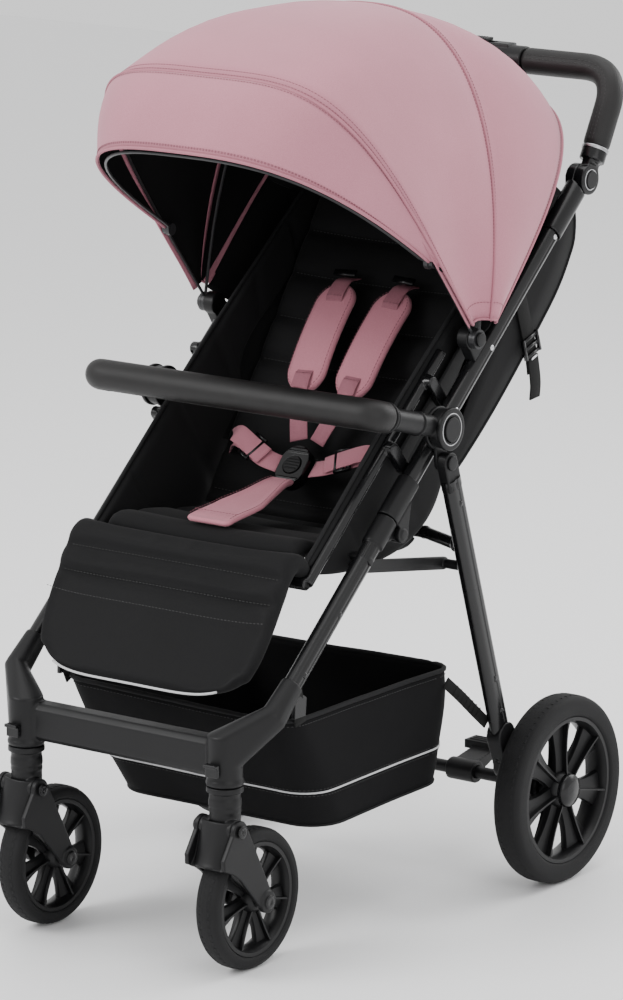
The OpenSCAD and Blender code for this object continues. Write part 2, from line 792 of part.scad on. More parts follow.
brace(-1);  // brace_left
brace(1);  // brace_right
handle_tube();
handle_grip();
handle_module();
fold_trigger();
fold_slider();
tilt_button(-1);  // tilt_button_left
tilt_button(1);  // tilt_button_right
bumper_bar();
bumper_button(-1);  // bumper_button_left
bumper_button(1);  // bumper_button_right
canopy_bow_front();
canopy_bow_middle();
canopy_front();
visor();
visor_wire();
footrest();
basket();
basket_straps();
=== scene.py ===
import json
import math
import bmesh
import bpy
import numpy as np
from mathutils import Matrix, Vector, noise


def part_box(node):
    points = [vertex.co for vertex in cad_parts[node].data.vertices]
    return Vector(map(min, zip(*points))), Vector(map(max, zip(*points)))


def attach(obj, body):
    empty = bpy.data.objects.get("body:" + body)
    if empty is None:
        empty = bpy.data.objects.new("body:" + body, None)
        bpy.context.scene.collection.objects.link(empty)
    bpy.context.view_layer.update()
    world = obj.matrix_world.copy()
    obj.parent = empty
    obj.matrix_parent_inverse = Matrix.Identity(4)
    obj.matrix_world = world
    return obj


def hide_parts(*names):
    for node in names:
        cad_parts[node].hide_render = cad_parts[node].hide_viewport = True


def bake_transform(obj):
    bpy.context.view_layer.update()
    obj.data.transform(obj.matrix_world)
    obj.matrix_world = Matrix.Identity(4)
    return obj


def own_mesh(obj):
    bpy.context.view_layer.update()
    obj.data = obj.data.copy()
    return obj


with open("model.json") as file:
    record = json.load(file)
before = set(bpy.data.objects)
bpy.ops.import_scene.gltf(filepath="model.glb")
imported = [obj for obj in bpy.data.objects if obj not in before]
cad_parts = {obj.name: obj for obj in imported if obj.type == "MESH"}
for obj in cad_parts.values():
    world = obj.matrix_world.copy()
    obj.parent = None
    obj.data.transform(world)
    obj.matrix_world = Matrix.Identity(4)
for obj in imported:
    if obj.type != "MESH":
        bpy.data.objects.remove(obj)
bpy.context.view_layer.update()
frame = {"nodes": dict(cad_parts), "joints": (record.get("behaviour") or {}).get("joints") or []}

scene = bpy.context.scene
pivot = {j["name"]: Vector(j["pos_m"]) for j in frame["joints"] if j.get("pos_m")}
mm = 0.001
sides = (("left", -1), ("right", 1))


# ---- meshes ----

def makePiece(name, verts, faces, material, smooth=True):
    mesh = bpy.data.meshes.new(name)
    mesh.from_pydata([tuple(v) for v in verts], [], [tuple(f) for f in faces])
    mesh.polygons.foreach_set("use_smooth", [smooth] * len(mesh.polygons))
    mesh.materials.append(material)
    mesh.update()
    obj = bpy.data.objects.new(name, mesh)
    scene.collection.objects.link(obj)
    return obj


def applyModifiers(obj):
    bpy.context.view_layer.update()
    evaluated = obj.evaluated_get(bpy.context.evaluated_depsgraph_get())
    mesh = bpy.data.meshes.new_from_object(evaluated)
    mesh.name = obj.name
    obj.modifiers.clear()
    obj.data = mesh
    return obj


def facesOut(obj):
    work = bmesh.new()
    work.from_mesh(obj.data)
    bmesh.ops.remove_doubles(work, verts=work.verts, dist=1e-6)
    bmesh.ops.recalc_face_normals(work, faces=work.faces)
    work.to_mesh(obj.data)
    work.free()
    return obj


def join(name, pieces):
    """One piece from several, with their materials kept."""
    mesh = bpy.data.meshes.new(name)
    slots = []
    work = bmesh.new()
    for piece in pieces:
        start = len(work.faces)
        work.from_mesh(piece.data)
        work.faces.ensure_lookup_table()
        for face in work.faces[start:]:
            own = piece.data.materials[face.material_index]
            if own not in slots:
                slots.append(own)
            face.material_index = slots.index(own)
    work.to_mesh(mesh)
    work.free()
    for own in slots:
        mesh.materials.append(own)
    for piece in pieces:
        bpy.data.objects.remove(piece)
    obj = bpy.data.objects.new(name, mesh)
    scene.collection.objects.link(obj)
    return obj


def gridFaces(rows, cols, start=0, closed=False, flip=False):
    faces = []
    for i in range(rows - 1):
        for k in range(cols if closed else cols - 1):
            a, b = start + i * cols + k, start + i * cols + (k + 1) % cols
            quad = (a, b, b + cols, a + cols)
            faces.append(quad[::-1] if flip else quad)
    return faces


def sweep(path, profile, side, closedPath=False):
    """Verts and faces of a profile [(across, outward)] swept along a path; side is the across direction,
    one for all points or one per point."""
    count = len(path)
    points = [Vector(p) for p in path]
    acrosses = [Vector(side)] * count if isinstance(side, (Vector, tuple)) else [Vector(s) for s in side]
    verts = []
    for i, p in enumerate(points):
        if closedPath:
            ahead = points[(i + 1) % count] - points[i - 1]
        else:
            ahead = points[min(i + 1, count - 1)] - points[max(i - 1, 0)]
        ahead.normalize()
        across = (acrosses[i] - ahead * acrosses[i].dot(ahead)).normalized()
        up = across.cross(ahead)
        verts += [p + across * a + up * b for a, b in profile]
    n = len(profile)
    faces = gridFaces(count, n, closed=True)
    if closedPath:
        last = (count - 1) * n
        faces += [(last + k, last + (k + 1) % n, (k + 1) % n, k) for k in range(n)]
    else:
        faces += [tuple(range(n))[::-1], tuple(range((count - 1) * n, count * n))]
    return verts, faces


def sweptPiece(name, path, profile, side, material, closedPath=False, smooth=True):
    return facesOut(makePiece(name, *sweep(path, profile, side, closedPath), material, smooth))


def roundProfile(r, n=12, squash=1.0):
    return [(r * math.cos(2 * math.pi * k / n), squash * r * math.sin(2 * math.pi * k / n)) for k in range(n)]


def strapProfile(width, thick, bevel=0.3):
    w, t, b = width / 2, thick / 2, min(thick * bevel, width * 0.2)
    return [(-w, -t + b), (-w + b, -t), (w - b, -t), (w, -t + b), (w, t - b), (w - b, t), (-w + b, t), (-w, t - b)]


def smoothPath(points, steps=8):
    """Catmull-Rom through the points."""
    p = [Vector(q) for q in points]
    p = [2 * p[0] - p[1]] + p + [2 * p[-1] - p[-2]]
    out = []
    for i in range(1, len(p) - 2):
        for k in range(steps):
            t = k / steps
            a, b, c, d = p[i - 1], p[i], p[i + 1], p[i + 2]
            out.append(0.5 * (2 * b + (c - a) * t + (2 * a - 5 * b + 4 * c - d) * t * t
                              + (3 * b - a - 3 * c + d) * t ** 3))
    return out + [p[-2]]


def roundedPath(points, radius, steps=8):
    """Straight runs joined by arcs of about the given radius."""
    p = [Vector(q) for q in points]
    out = [p[0]]
    for a, b, c in zip(p, p[1:], p[2:]):
        u, w = (a - b).normalized(), (c - b).normalized()
        reach = min(radius / max(math.tan(u.angle(w) / 2), 0.05), (a - b).length * 0.48, (c - b).length * 0.48)
        start, end = b + u * reach, b + w * reach
        for k in range(steps + 1):
            t = k / steps
            out.append(start * (1 - t) ** 2 + b * 2 * t * (1 - t) + end * t * t)
    return out + [p[-1]]


def evenPath(points, spacing):
    """The same line with points a spacing apart."""
    p = np.array([tuple(q) for q in points])
    run = np.concatenate([[0], np.cumsum(np.linalg.norm(np.diff(p, axis=0), axis=1))])
    n = max(2, int(round(run[-1] / spacing)) + 1)
    at = np.linspace(0, run[-1], n)
    return [Vector([float(np.interp(s, run, p[:, k])) for k in range(3)]) for s in at]


def lathe(name, centre, profile, material, steps=64, sharp=False):
    """Profile [(x along the axis, radius)] turned about the X line through centre; a closed outline."""
    verts = [(centre[0] + x, centre[1] + r * math.cos(2 * math.pi * i / steps),
              centre[2] + r * math.sin(2 * math.pi * i / steps)) for i in range(steps) for x, r in profile]
    n = len(profile)
    faces = [(i * n + k, i * n + (k + 1) % n, ((i + 1) % steps) * n + (k + 1) % n, ((i + 1) % steps) * n + k)
             for i in range(steps) for k in range(n)]
    return facesOut(makePiece(name, verts, faces, material, not sharp))


def outlinePlate(name, outline, x0, x1, material, bevel=0.0008):
    """Side-view outline [(y, z)] with thickness from x0 to x1."""
    n = len(outline)
    verts = [(x0, y, z) for y, z in outline] + [(x1, y, z) for y, z in outline]
    faces = [tuple(range(n)), tuple(range(n, 2 * n))[::-1]]
    faces += [(k, n + k, n + (k + 1) % n, (k + 1) % n) for k in range(n)]
    obj = facesOut(makePiece(name, verts, faces, material, False))
    soften = obj.modifiers.new("edge", "BEVEL")
    soften.width, soften.segments, soften.limit_method = bevel, 2, "ANGLE"
    return applyModifiers(obj)


def shadeByAngle(obj, degrees=35):
    work = bmesh.new()
    work.from_mesh(obj.data)
    for face in work.faces:
        face.smooth = True
    for edge in work.edges:
        edge.smooth = len(edge.link_faces) != 2 or edge.calc_face_angle(0) < math.radians(degrees)
    work.to_mesh(obj.data)
    work.free()
    return obj


def place(obj, body, slotName, *nodes):
    """Rides on its body and stands for the CAD nodes; slotName is not used."""
    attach(obj, body)
    if nodes:
        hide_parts(*nodes)
    return obj


# ---- Geometry Nodes ----

def newTree(name, inputs):
    tree = bpy.data.node_groups.new(name, "GeometryNodeTree")
    tree.interface.new_socket("Geometry", in_out="INPUT", socket_type="NodeSocketGeometry")
    for label, kind in inputs:
        tree.interface.new_socket(label, in_out="INPUT", socket_type="NodeSocket" + kind)
    tree.interface.new_socket("Geometry", in_out="OUTPUT", socket_type="NodeSocketGeometry")
    return tree


def addNode(tree, kind, links=(), **values):
    """A node with its inputs linked [(input, source node, output)] and its properties or input values set."""
    node = tree.nodes.new(kind)
    for key, value in values.items():
        if hasattr(node, key):
            setattr(node, key, value)
    for key, value in values.items():
        if not hasattr(node, key):
            node.inputs[key.replace("_", " ")].default_value = value
    for name, source, output in links:
        tree.links.new(source.outputs[output], node.inputs[name])
    return node


def runTree(obj, tree, values):
    """Gives the tree's named inputs their values, and turns the result into a plain mesh."""
    modifier = obj.modifiers.new(tree.name, "NODES")
    modifier.node_group = tree
    for item in tree.interface.items_tree:
        if item.in_out == "INPUT" and item.name in values:
            modifier[item.identifier] = values[item.name]
    material = values["Material"]
    applyModifiers(obj)
    obj.data.materials.clear()
    obj.data.materials.append(material)
    obj.data.polygons.foreach_set("material_index", [0] * len(obj.data.polygons))
    return obj


def stitchTree():
    tree = newTree("stitchesAlongPath", [("Spacing", "Float"), ("Length", "Float"), ("Thread", "Float"),
                                         ("Material", "Material")])
    start = tree.nodes.new("NodeGroupInput")
    line = addNode(tree, "GeometryNodeMeshToCurve", [("Mesh", start, "Geometry")])
    even = addNode(tree, "GeometryNodeResampleCurve", [("Curve", line, "Curve"), ("Length", start, "Spacing")],
                   mode="LENGTH")
    thread = addNode(tree, "GeometryNodeMeshUVSphere", Segments=6, Rings=5, Radius=0.5)
    size = addNode(tree, "ShaderNodeCombineXYZ", [("X", start, "Thread"), ("Y", start, "Thread"),
                                                  ("Z", start, "Length")])
    tangent = tree.nodes.new("GeometryNodeInputTangent")
    aim = addNode(tree, "FunctionNodeAlignRotationToVector", [("Vector", tangent, "Tangent")], axis="Z")
    copies = addNode(tree, "GeometryNodeInstanceOnPoints", [
        ("Points", even, "Curve"), ("Instance", thread, "Mesh"), ("Rotation", aim, "Rotation"), ("Scale", size, 0)])
    real = addNode(tree, "GeometryNodeRealizeInstances", [("Geometry", copies, "Instances")])
    paint = addNode(tree, "GeometryNodeSetMaterial", [("Geometry", real, "Geometry"), ("Material", start, "Material")])
    addNode(tree, "NodeGroupOutput", [("Geometry", paint, "Geometry")])
    return tree


def ringTree():
    tree = newTree("ringAboutAxle", [("Count", "Int"), ("Centre", "Vector"), ("Material", "Material")])
    start = tree.nodes.new("NodeGroupInput")
    back = addNode(tree, "ShaderNodeVectorMath", [(0, start, "Centre")], operation="SCALE")
    back.inputs["Scale"].default_value = -1
    centred = addNode(tree, "GeometryNodeTransform", [("Geometry", start, "Geometry"), ("Translation", back, 0)])
    points = addNode(tree, "GeometryNodePoints", [("Count", start, "Count"), ("Position", start, "Centre")])
    index = tree.nodes.new("GeometryNodeInputIndex")
    step = addNode(tree, "ShaderNodeMath", [(1, start, "Count")], operation="DIVIDE")
    step.inputs[0].default_value = 2 * math.pi
    turn = addNode(tree, "ShaderNodeMath", [(0, index, "Index"), (1, step, 0)], operation="MULTIPLY")
    angle = addNode(tree, "ShaderNodeCombineXYZ", [("X", turn, 0)])
    copies = addNode(tree, "GeometryNodeInstanceOnPoints", [
        ("Points", points, "Points" if "Points" in points.outputs else 0), ("Instance", centred, "Geometry"),
        ("Rotation", angle, 0)])
    real = addNode(tree, "GeometryNodeRealizeInstances", [("Geometry", copies, "Instances")])
    paint = addNode(tree, "GeometryNodeSetMaterial", [("Geometry", real, "Geometry"), ("Material", start, "Material")])
    addNode(tree, "NodeGroupOutput", [("Geometry", paint, "Geometry")])
    return tree


def rivetTree():
    tree = newTree("rivetHeads", [("Radius", "Float"), ("Height", "Float"), ("Aim", "Vector"),
                                  ("Material", "Material")])
    start = tree.nodes.new("NodeGroupInput")
    dome = addNode(tree, "GeometryNodeMeshUVSphere", Segments=20, Rings=10, Radius=1.0)
    size = addNode(tree, "ShaderNodeCombineXYZ", [("X", start, "Radius"), ("Y", start, "Radius"),
                                                  ("Z", start, "Height")])
    aim = addNode(tree, "FunctionNodeAlignRotationToVector", [("Vector", start, "Aim")], axis="Z")
    spots = addNode(tree, "GeometryNodeMeshToPoints", [("Mesh", start, "Geometry")])
    copies = addNode(tree, "GeometryNodeInstanceOnPoints", [
        ("Points", spots, "Points"), ("Instance", dome, "Mesh"), ("Rotation", aim, "Rotation"), ("Scale", size, 0)])
    real = addNode(tree, "GeometryNodeRealizeInstances", [("Geometry", copies, "Instances")])
    paint = addNode(tree, "GeometryNodeSetMaterial", [("Geometry", real, "Geometry"), ("Material", start, "Material")])
    addNode(tree, "NodeGroupOutput", [("Geometry", paint, "Geometry")])
    return tree


stitchNodes, ringNodes, rivetNodes = stitchTree(), ringTree(), rivetTree()


def stitches(name, paths, material, spacing=0.0044, length=0.0032, thread=0.0011):
    """Rows of thread along each path, as one piece."""
    verts, edges = [], []
    for path in paths:
        first = len(verts)
        verts += [tuple(p) for p in path]
        edges += [(first + k, first + k + 1) for k in range(len(path) - 1)]
    mesh = bpy.data.meshes.new(name)
    mesh.from_pydata(verts, edges, [])
    obj = bpy.data.objects.new(name, mesh)
    scene.collection.objects.link(obj)
    runTree(obj, stitchNodes, {"Spacing": spacing, "Length": length, "Thread": thread, "Material": material})
    obj.data.polygons.foreach_set("use_smooth", [True] * len(obj.data.polygons))
    return obj


def ringOf(piece, count, centre, material):
    return runTree(piece, ringNodes, {"Count": count, "Centre": Vector(centre), "Material": material})


def rivets(name, points, aim, radius, height, material):
    mesh = bpy.data.meshes.new(name)
    mesh.from_pydata([tuple(p) for p in points], [], [])
    obj = bpy.data.objects.new(name, mesh)
    scene.collection.objects.link(obj)
    runTree(obj, rivetNodes, {"Radius": radius, "Height": height, "Aim": Vector(aim), "Material": material})
    obj.data.polygons.foreach_set("use_smooth", [True] * len(obj.data.polygons))
    return obj


# ---- finishes ----

def finish(name, colour, roughness, **sockets):
    """A principled material and its tree, ready for more nodes."""
    material = bpy.data.materials.new(name)
    material.use_nodes = True
    tree = material.node_tree
    shader = tree.nodes["Principled BSDF"]
    shader.inputs["Base Color"].default_value = (*colour, 1)
    shader.inputs["Roughness"].default_value = roughness
    for key, value in sockets.items():
        label = key.replace("_", " ")
        shader.inputs[label].default_value = (*value, 1) if isinstance(value, tuple) else value
    place3d = tree.nodes.new("ShaderNodeTexCoord")
    return material, tree, shader, place3d


def mixColours(tree, factor, output, dark, light):
    ramp = tree.nodes.new("ShaderNodeValToRGB")
    ramp.color_ramp.elements[0].color = (*dark, 1)
    ramp.color_ramp.elements[1].color = (*light, 1)
    ramp.color_ramp.elements[0].position = 0.3
    ramp.color_ramp.elements[1].position = 0.7
    tree.links.new(factor.outputs[output], ramp.inputs["Fac"])
    return ramp


def bumpFrom(tree, shader, height, output, strength, distance, below=None):
    bump = tree.nodes.new("ShaderNodeBump")
    bump.inputs["Strength"].default_value = strength
    bump.inputs["Distance"].default_value = distance
    tree.links.new(height.outputs[output], bump.inputs["Height"])
    if below:
        tree.links.new(below.outputs["Normal"], bump.inputs["Normal"])
    tree.links.new(bump.outputs["Normal"], shader.inputs["Normal"])
    return bump


def noiseNode(tree, place3d, scale, detail=3.0, roughness=0.55, output="Object"):
    node = tree.nodes.new("ShaderNodeTexNoise")
    node.inputs["Scale"].default_value = scale
    node.inputs["Detail"].default_value = detail
    node.inputs["Roughness"].default_value = roughness
    tree.links.new(place3d.outputs[output], node.inputs["Vector"])
    return node


def roughnessFrom(tree, shader, factor, output, low, high):
    span = tree.nodes.new("ShaderNodeMapRange")
    span.inputs["To Min"].default_value = low
    span.inputs["To Max"].default_value = high
    tree.links.new(factor.outputs[output], span.inputs["Value"])
    tree.links.new(span.outputs["Result"], shader.inputs["Roughness"])


def hardFinish(name, colour, roughness, grainScale, grainDepth, **sockets):
    """Paint, moulded plastic or bare metal with a fine grain and slight wear in its gloss."""
    material, tree, shader, at = finish(name, colour, roughness, **sockets)
    grain = noiseNode(tree, at, grainScale)
    wear = noiseNode(tree, at, 22, 5)
    roughnessFrom(tree, shader, wear, "Fac", roughness * 0.8, roughness * 1.25)
    tint = mixColours(tree, wear, "Fac", [c * 0.85 for c in colour], [min(1, c * 1.2) for c in colour])
    tree.links.new(tint.outputs["Color"], shader.inputs["Base Color"])
    bumpFrom(tree, shader, grain, "Fac", 0.35, grainDepth)
    return material


def wovenFinish(name, dark, light, thread, depth, blotch, fleck, roughness=0.85, crease=0.0, **sockets):
    """Cloth: crossed threads, flecks of two yarn colours and a broad unevenness."""
    material, tree, shader, at = finish(name, light, roughness, **sockets)
    turned = tree.nodes.new("ShaderNodeMapping")
    turned.inputs["Rotation"].default_value = (0.6, 0.5, 0.35)
    tree.links.new(at.outputs["Object"], turned.inputs["Vector"])
    waves = []
    for direction in ("X", "Y", "Z"):
        wave = tree.nodes.new("ShaderNodeTexWave")
        wave.bands_direction = direction
        wave.inputs["Scale"].default_value = thread
        wave.inputs["Distortion"].default_value = 0.6
        tree.links.new(turned.outputs["Vector"], wave.inputs["Vector"])
        waves.append(wave)
    first = tree.nodes.new("ShaderNodeMath")
    first.operation = "MAXIMUM"
    tree.links.new(waves[0].outputs["Fac"], first.inputs[0])
    tree.links.new(waves[1].outputs["Fac"], first.inputs[1])
    weave = tree.nodes.new("ShaderNodeMath")
    weave.operation = "MULTIPLY"
    tree.links.new(first.outputs[0], weave.inputs[0])
    tree.links.new(waves[2].outputs["Fac"], weave.inputs[1])
    flecks = noiseNode(tree, at, fleck, 2, 0.7)
    broad = noiseNode(tree, at, blotch, 4)
    tint = mixColours(tree, flecks, "Fac", dark, light)
    shade = tree.nodes.new("ShaderNodeMix")
    shade.data_type, shade.blend_type = "RGBA", "MULTIPLY"
    shade.inputs["Factor"].default_value = 0.35
    soft = mixColours(tree, broad, "Fac", (0.78, 0.78, 0.78), (1, 1, 1))
    tree.links.new(tint.outputs["Color"], shade.inputs["A"])
    tree.links.new(soft.outputs["Color"], shade.inputs["B"])
    tree.links.new(shade.outputs["Result"], shader.inputs["Base Color"])
    fine = bumpFrom(tree, shader, weave, 0, 0.5, depth)
    if crease:
        folds = noiseNode(tree, at, 16, 3, 0.45)
        bumpFrom(tree, shader, folds, "Fac", 0.5, crease, fine)
    return material


def grainFinish(name, colour, roughness, scale, depth, **sockets):
    """Leather-like foam cover or foam rubber: closed cells with creases between."""
    material, tree, shader, at = finish(name, colour, roughness, **sockets)
    cells = tree.nodes.new("ShaderNodeTexVoronoi")
    cells.feature = "DISTANCE_TO_EDGE"
    cells.inputs["Scale"].default_value = scale
    tree.links.new(at.outputs["Object"], cells.inputs["Vector"])
    limit = tree.nodes.new("ShaderNodeMapRange")
    limit.inputs["From Max"].default_value = 0.25
    tree.links.new(cells.outputs["Distance"], limit.inputs["Value"])
    wear = noiseNode(tree, at, 30, 4)
    roughnessFrom(tree, shader, wear, "Fac", roughness * 0.85, roughness * 1.15)
    tint = mixColours(tree, wear, "Fac", [c * 0.8 for c in colour], [min(1, c * 1.3) for c in colour])
    tree.links.new(tint.outputs["Color"], shader.inputs["Base Color"])
    bumpFrom(tree, shader, limit, "Result", 0.45, depth)
    return material


paintBlack = hardFinish("paintBlack", (0.0045, 0.0045, 0.005), 0.26, 900, 0.00008, Specular_IOR_Level=0.36, Coat_Weight=0.1,
                        Coat_Roughness=0.12)
mouldBlack = hardFinish("mouldBlack", (0.0055, 0.0055, 0.006), 0.42, 1500, 0.00022, Specular_IOR_Level=0.24)
mouldGloss = hardFinish("mouldGloss", (0.004, 0.004, 0.0045), 0.24, 1200, 0.00006, Specular_IOR_Level=0.34)
wheelBlack = hardFinish("wheelBlack", (0.005, 0.005, 0.0055), 0.36, 1300, 0.00012, Specular_IOR_Level=0.26)
bowSteel = hardFinish("bowSteel", (0.03, 0.03, 0.032), 0.38, 900, 0.0001, Metallic=0.4)
zincBright = hardFinish("zincBright", (0.62, 0.62, 0.64), 0.28, 700, 0.00005, Metallic=1.0)
ringSilver = hardFinish("ringSilver", (0.42, 0.42, 0.43), 0.30, 700, 0.00005, Metallic=1.0)
leatherGrip = grainFinish("leatherGrip", (0.0095, 0.009, 0.009), 0.46, 620, 0.00022, Specular_IOR_Level=0.28)
foamTyre = grainFinish("foamTyre", (0.008, 0.008, 0.0085), 0.68, 900, 0.0003, Specular_IOR_Level=0.22)
canopyPink = wovenFinish("canopyPink", (0.40, 0.150, 0.198), (0.50, 0.215, 0.268), 260, 0.00012, 9, 1500,
                         crease=0.0012, Sheen_Weight=0.12, Sheen_Roughness=0.5)
canopyEdge = wovenFinish("canopyEdge", (0.36, 0.130, 0.172), (0.46, 0.190, 0.238), 420, 0.0002, 9, 1700)
liningBlack = wovenFinish("liningBlack", (0.004, 0.004, 0.0045), (0.008, 0.008, 0.0085), 300, 0.0001, 12, 1400, Specular_IOR_Level=0.15,
                          crease=0.002)
seatBlack = wovenFinish("seatBlack", (0.0055, 0.0055, 0.006), (0.0115, 0.0115, 0.012), 300, 0.00016, 10, 1600,
                        crease=0.0012, Sheen_Weight=0.04, Sheen_Roughness=0.4, Specular_IOR_Level=0.16)
bindingBlack = wovenFinish("bindingBlack", (0.008, 0.008, 0.0085), (0.016, 0.016, 0.017), 520, 0.0002, 10, 1800,
                           Specular_IOR_Level=0.2)
basketBlack = wovenFinish("basketBlack", (0.003, 0.003, 0.0035), (0.0065, 0.0065, 0.007), 260, 0.00014, 10, 1500, Specular_IOR_Level=0.13,
                          crease=0.003)
webbingBlack = wovenFinish("webbingBlack", (0.006, 0.006, 0.006), (0.016, 0.016, 0.016), 480, 0.0003, 10, 1500,
                           Specular_IOR_Level=0.2)
harnessPink = wovenFinish("harnessPink", (0.42, 0.145, 0.190), (0.55, 0.220, 0.272), 420, 0.0002, 12, 1500,
                          Sheen_Weight=0.12, Sheen_Roughness=0.5)
webbingPink = wovenFinish("webbingPink", (0.25, 0.085, 0.115), (0.38, 0.150, 0.188), 420, 0.00035, 12, 1200)
threadPink = wovenFinish("threadPink", (0.17, 0.055, 0.075), (0.25, 0.090, 0.115), 900, 0.00005, 12, 900)
threadBlack = wovenFinish("threadBlack", (0.02, 0.02, 0.02), (0.045, 0.045, 0.045), 900, 0.00005, 12, 900)
reflectPale = wovenFinish("reflectPale", (0.42, 0.42, 0.43), (0.62, 0.62, 0.63), 700, 0.00008, 20, 1200,
                          roughness=0.38)
print("finishes made")


# ---- floor, lights and camera ----

stageSizes = {"floor": 6.0, "paper": (0.93, 0.93, 0.935)}


def makeStage():
    floorWhite, tree, shader, at = finish("floorWhite", stageSizes["paper"], 0.5)
    mottle = noiseNode(tree, at, 3)
    roughnessFrom(tree, shader, mottle, "Fac", 0.45, 0.55)
    h = stageSizes["floor"]
    floor = makePiece("floor", [(-h, -h, 0), (h, -h, 0), (h, h, 0), (-h, h, 0)], [(0, 1, 2, 3)], floorWhite)
    world = bpy.data.worlds.new("studio")
    world.use_nodes = True
    world.node_tree.nodes["Background"].inputs["Color"].default_value = (1, 1, 1, 1)
    world.node_tree.nodes["Background"].inputs["Strength"].default_value = 1.1
    scene.world = world
    for name, at, size, power, aim in (
            ("keySoft", (-1.6, -2.6, 2.6), 1.6, 80, (0, 0, 0.5)),
            ("fillSoft", (3.0, -1.4, 1.6), 2.4, 30, (0, 0, 0.5)),
            ("topSoft", (0.2, 0.4, 3.4), 2.6, 50, (0, 0, 0.6)),
            ("rimSoft", (1.2, 2.8, 2.0), 2.0, 45, (0, 0, 0.6))):
        lamp = bpy.data.lights.new(name, "AREA")
        lamp.size, lamp.energy = size, power
        obj = bpy.data.objects.new(name, lamp)
        obj.location = at
        obj.rotation_euler = (Vector(aim) - Vector(at)).to_track_quat("-Z", "Y").to_euler()
        scene.collection.objects.link(obj)


def makeCamera():
    azimuth, elevation = math.radians(36.43), math.radians(12.957)
    back = Vector((math.sin(azimuth) * math.cos(elevation), -math.cos(azimuth) * math.cos(elevation),
                   math.sin(elevation)))
    data = bpy.data.cameras.new("camera")
    data.lens, data.sensor_width = 186.4, 36
    data.clip_end = 60
    camera = bpy.data.objects.new("camera", data)
    camera.location = Vector((-0.0001, 0.0139, 0.4818)) + back * 6.3237
    camera.rotation_euler = (-back).to_track_quat("-Z", "Y").to_euler()
    scene.collection.objects.link(camera)
    scene.camera = camera


makeStage()
makeCamera()


# ---- the frame's lines, in the side view ----

# the side tubes lie on one line from the bridge to the handle joint
tubeLine = {"foot": (-0.317, 0.314), "top": (0.312, 0.858), "x": 0.192, "width": 0.020, "depth": 0.024}
tubeStart = Vector((0, *tubeLine["foot"]))
tubeAhead = (Vector((0, *tubeLine["top"])) - tubeStart).normalized()
tubeUp = Vector((0, -tubeAhead.z, tubeAhead.y))
legLine = {"top": (-0.004, 0.560), "foot": (0.124, 0.166), "x": 0.214, "width": 0.018, "depth": 0.028}
legTop, legFoot = Vector((0, *legLine["top"])), Vector((0, *legLine["foot"]))
legAhead = (legFoot - legTop).normalized()
xAxis = Vector((1, 0, 0))


def along(run, rise=0.0, x=0.0):
    return tubeStart + tubeAhead * run + tubeUp * rise + xAxis * x


def onLeg(run, x=0.0):
    return legTop + legAhead * run + xAxis * x


def ovalProfile(width, depth, groove=0.0009, grooveWidth=0.0042):
    """Oval tube section with a shallow groove down each flat side."""
    w, d = width / 2, depth / 2
    flat = d - w
    out = []
    for turn in (1, -1):
        arc = [(turn * w * math.cos(t), turn * (flat + w * math.sin(t))) for t in np.linspace(0, math.pi, 13)]
        g = grooveWidth / 2
        cut = [(-turn * w, turn * max(flat, g * 1.6)), (-turn * w, turn * g * 1.25), (-turn * (w - groove), turn * g * 0.8),
               (-turn * (w - groove), 0)]
        out += arc[:-1] + cut
        out += [(-turn * (w - groove), -turn * g * 0.8), (-turn * w, -turn * g * 1.25)]
    return out


def ovalTube(name, start, end, width, depth, material):
    profile = ovalProfile(width, depth)
    obj = facesOut(makePiece(name, *sweep([start, end], profile, xAxis), material))
    return shadeByAngle(obj, 40)


def mouldedCopy(name, nodes, body, slotName, material, voxel=0.0015, rounds=4, cut=None, extras=(), decimate=0.35):
    """The CAD shapes as one moulding with soft edges: a copy is merged, filled and smoothed."""
    work = bmesh.new()
    for node in nodes:
        work.from_mesh(frame["nodes"][node].data)
    bmesh.ops.remove_doubles(work, verts=work.verts, dist=2e-6)
    for point, normal in cut or ():
        geometry = work.verts[:] + work.edges[:] + work.faces[:]
        bmesh.ops.bisect_plane(work, geom=geometry, plane_co=point, plane_no=normal, clear_outer=True)
        open_ = [e for e in work.edges if e.is_boundary]
        bmesh.ops.holes_fill(work, edges=open_, sides=0)
    for extra in extras:
        work.from_mesh(extra.data)
    mesh = bpy.data.meshes.new(name)
    work.to_mesh(mesh)
    work.free()
    for extra in extras:
        bpy.data.objects.remove(extra)
    obj = bpy.data.objects.new(name, mesh)
    scene.collection.objects.link(obj)
    remesh = obj.modifiers.new("fill", "REMESH")
    remesh.mode, remesh.voxel_size = "VOXEL", voxel
    ease = obj.modifiers.new("ease", "SMOOTH")
    ease.factor, ease.iterations = 0.5, rounds
    thin = obj.modifiers.new("thin", "DECIMATE")
    thin.ratio = decimate
    applyModifiers(obj)
    obj.data.materials.clear()
    obj.data.materials.append(material)
    obj.data.polygons.foreach_set("use_smooth", [True] * len(obj.data.polygons))
    return place(obj, body, slotName, *nodes)


def cylinderX(name, at, radius, x0, x1, material=None, bevel=0.0008, steps=48):
    """A turned pin, boss or ring on the X direction, ends rounded."""
    b = min(bevel, abs(x1 - x0) * 0.4)
    profile = [(x0, 0.0001), (x0, radius - b), (x0 + b, radius), (x1 - b, radius), (x1, radius - b), (x1, 0.0001)]
    return lathe(name, (0, at[0], at[1]), profile, material or mouldBlack, steps)


frameSizes = {"rivet": 0.0036, "rivetHeight": 0.0016, "screw": 0.0052}


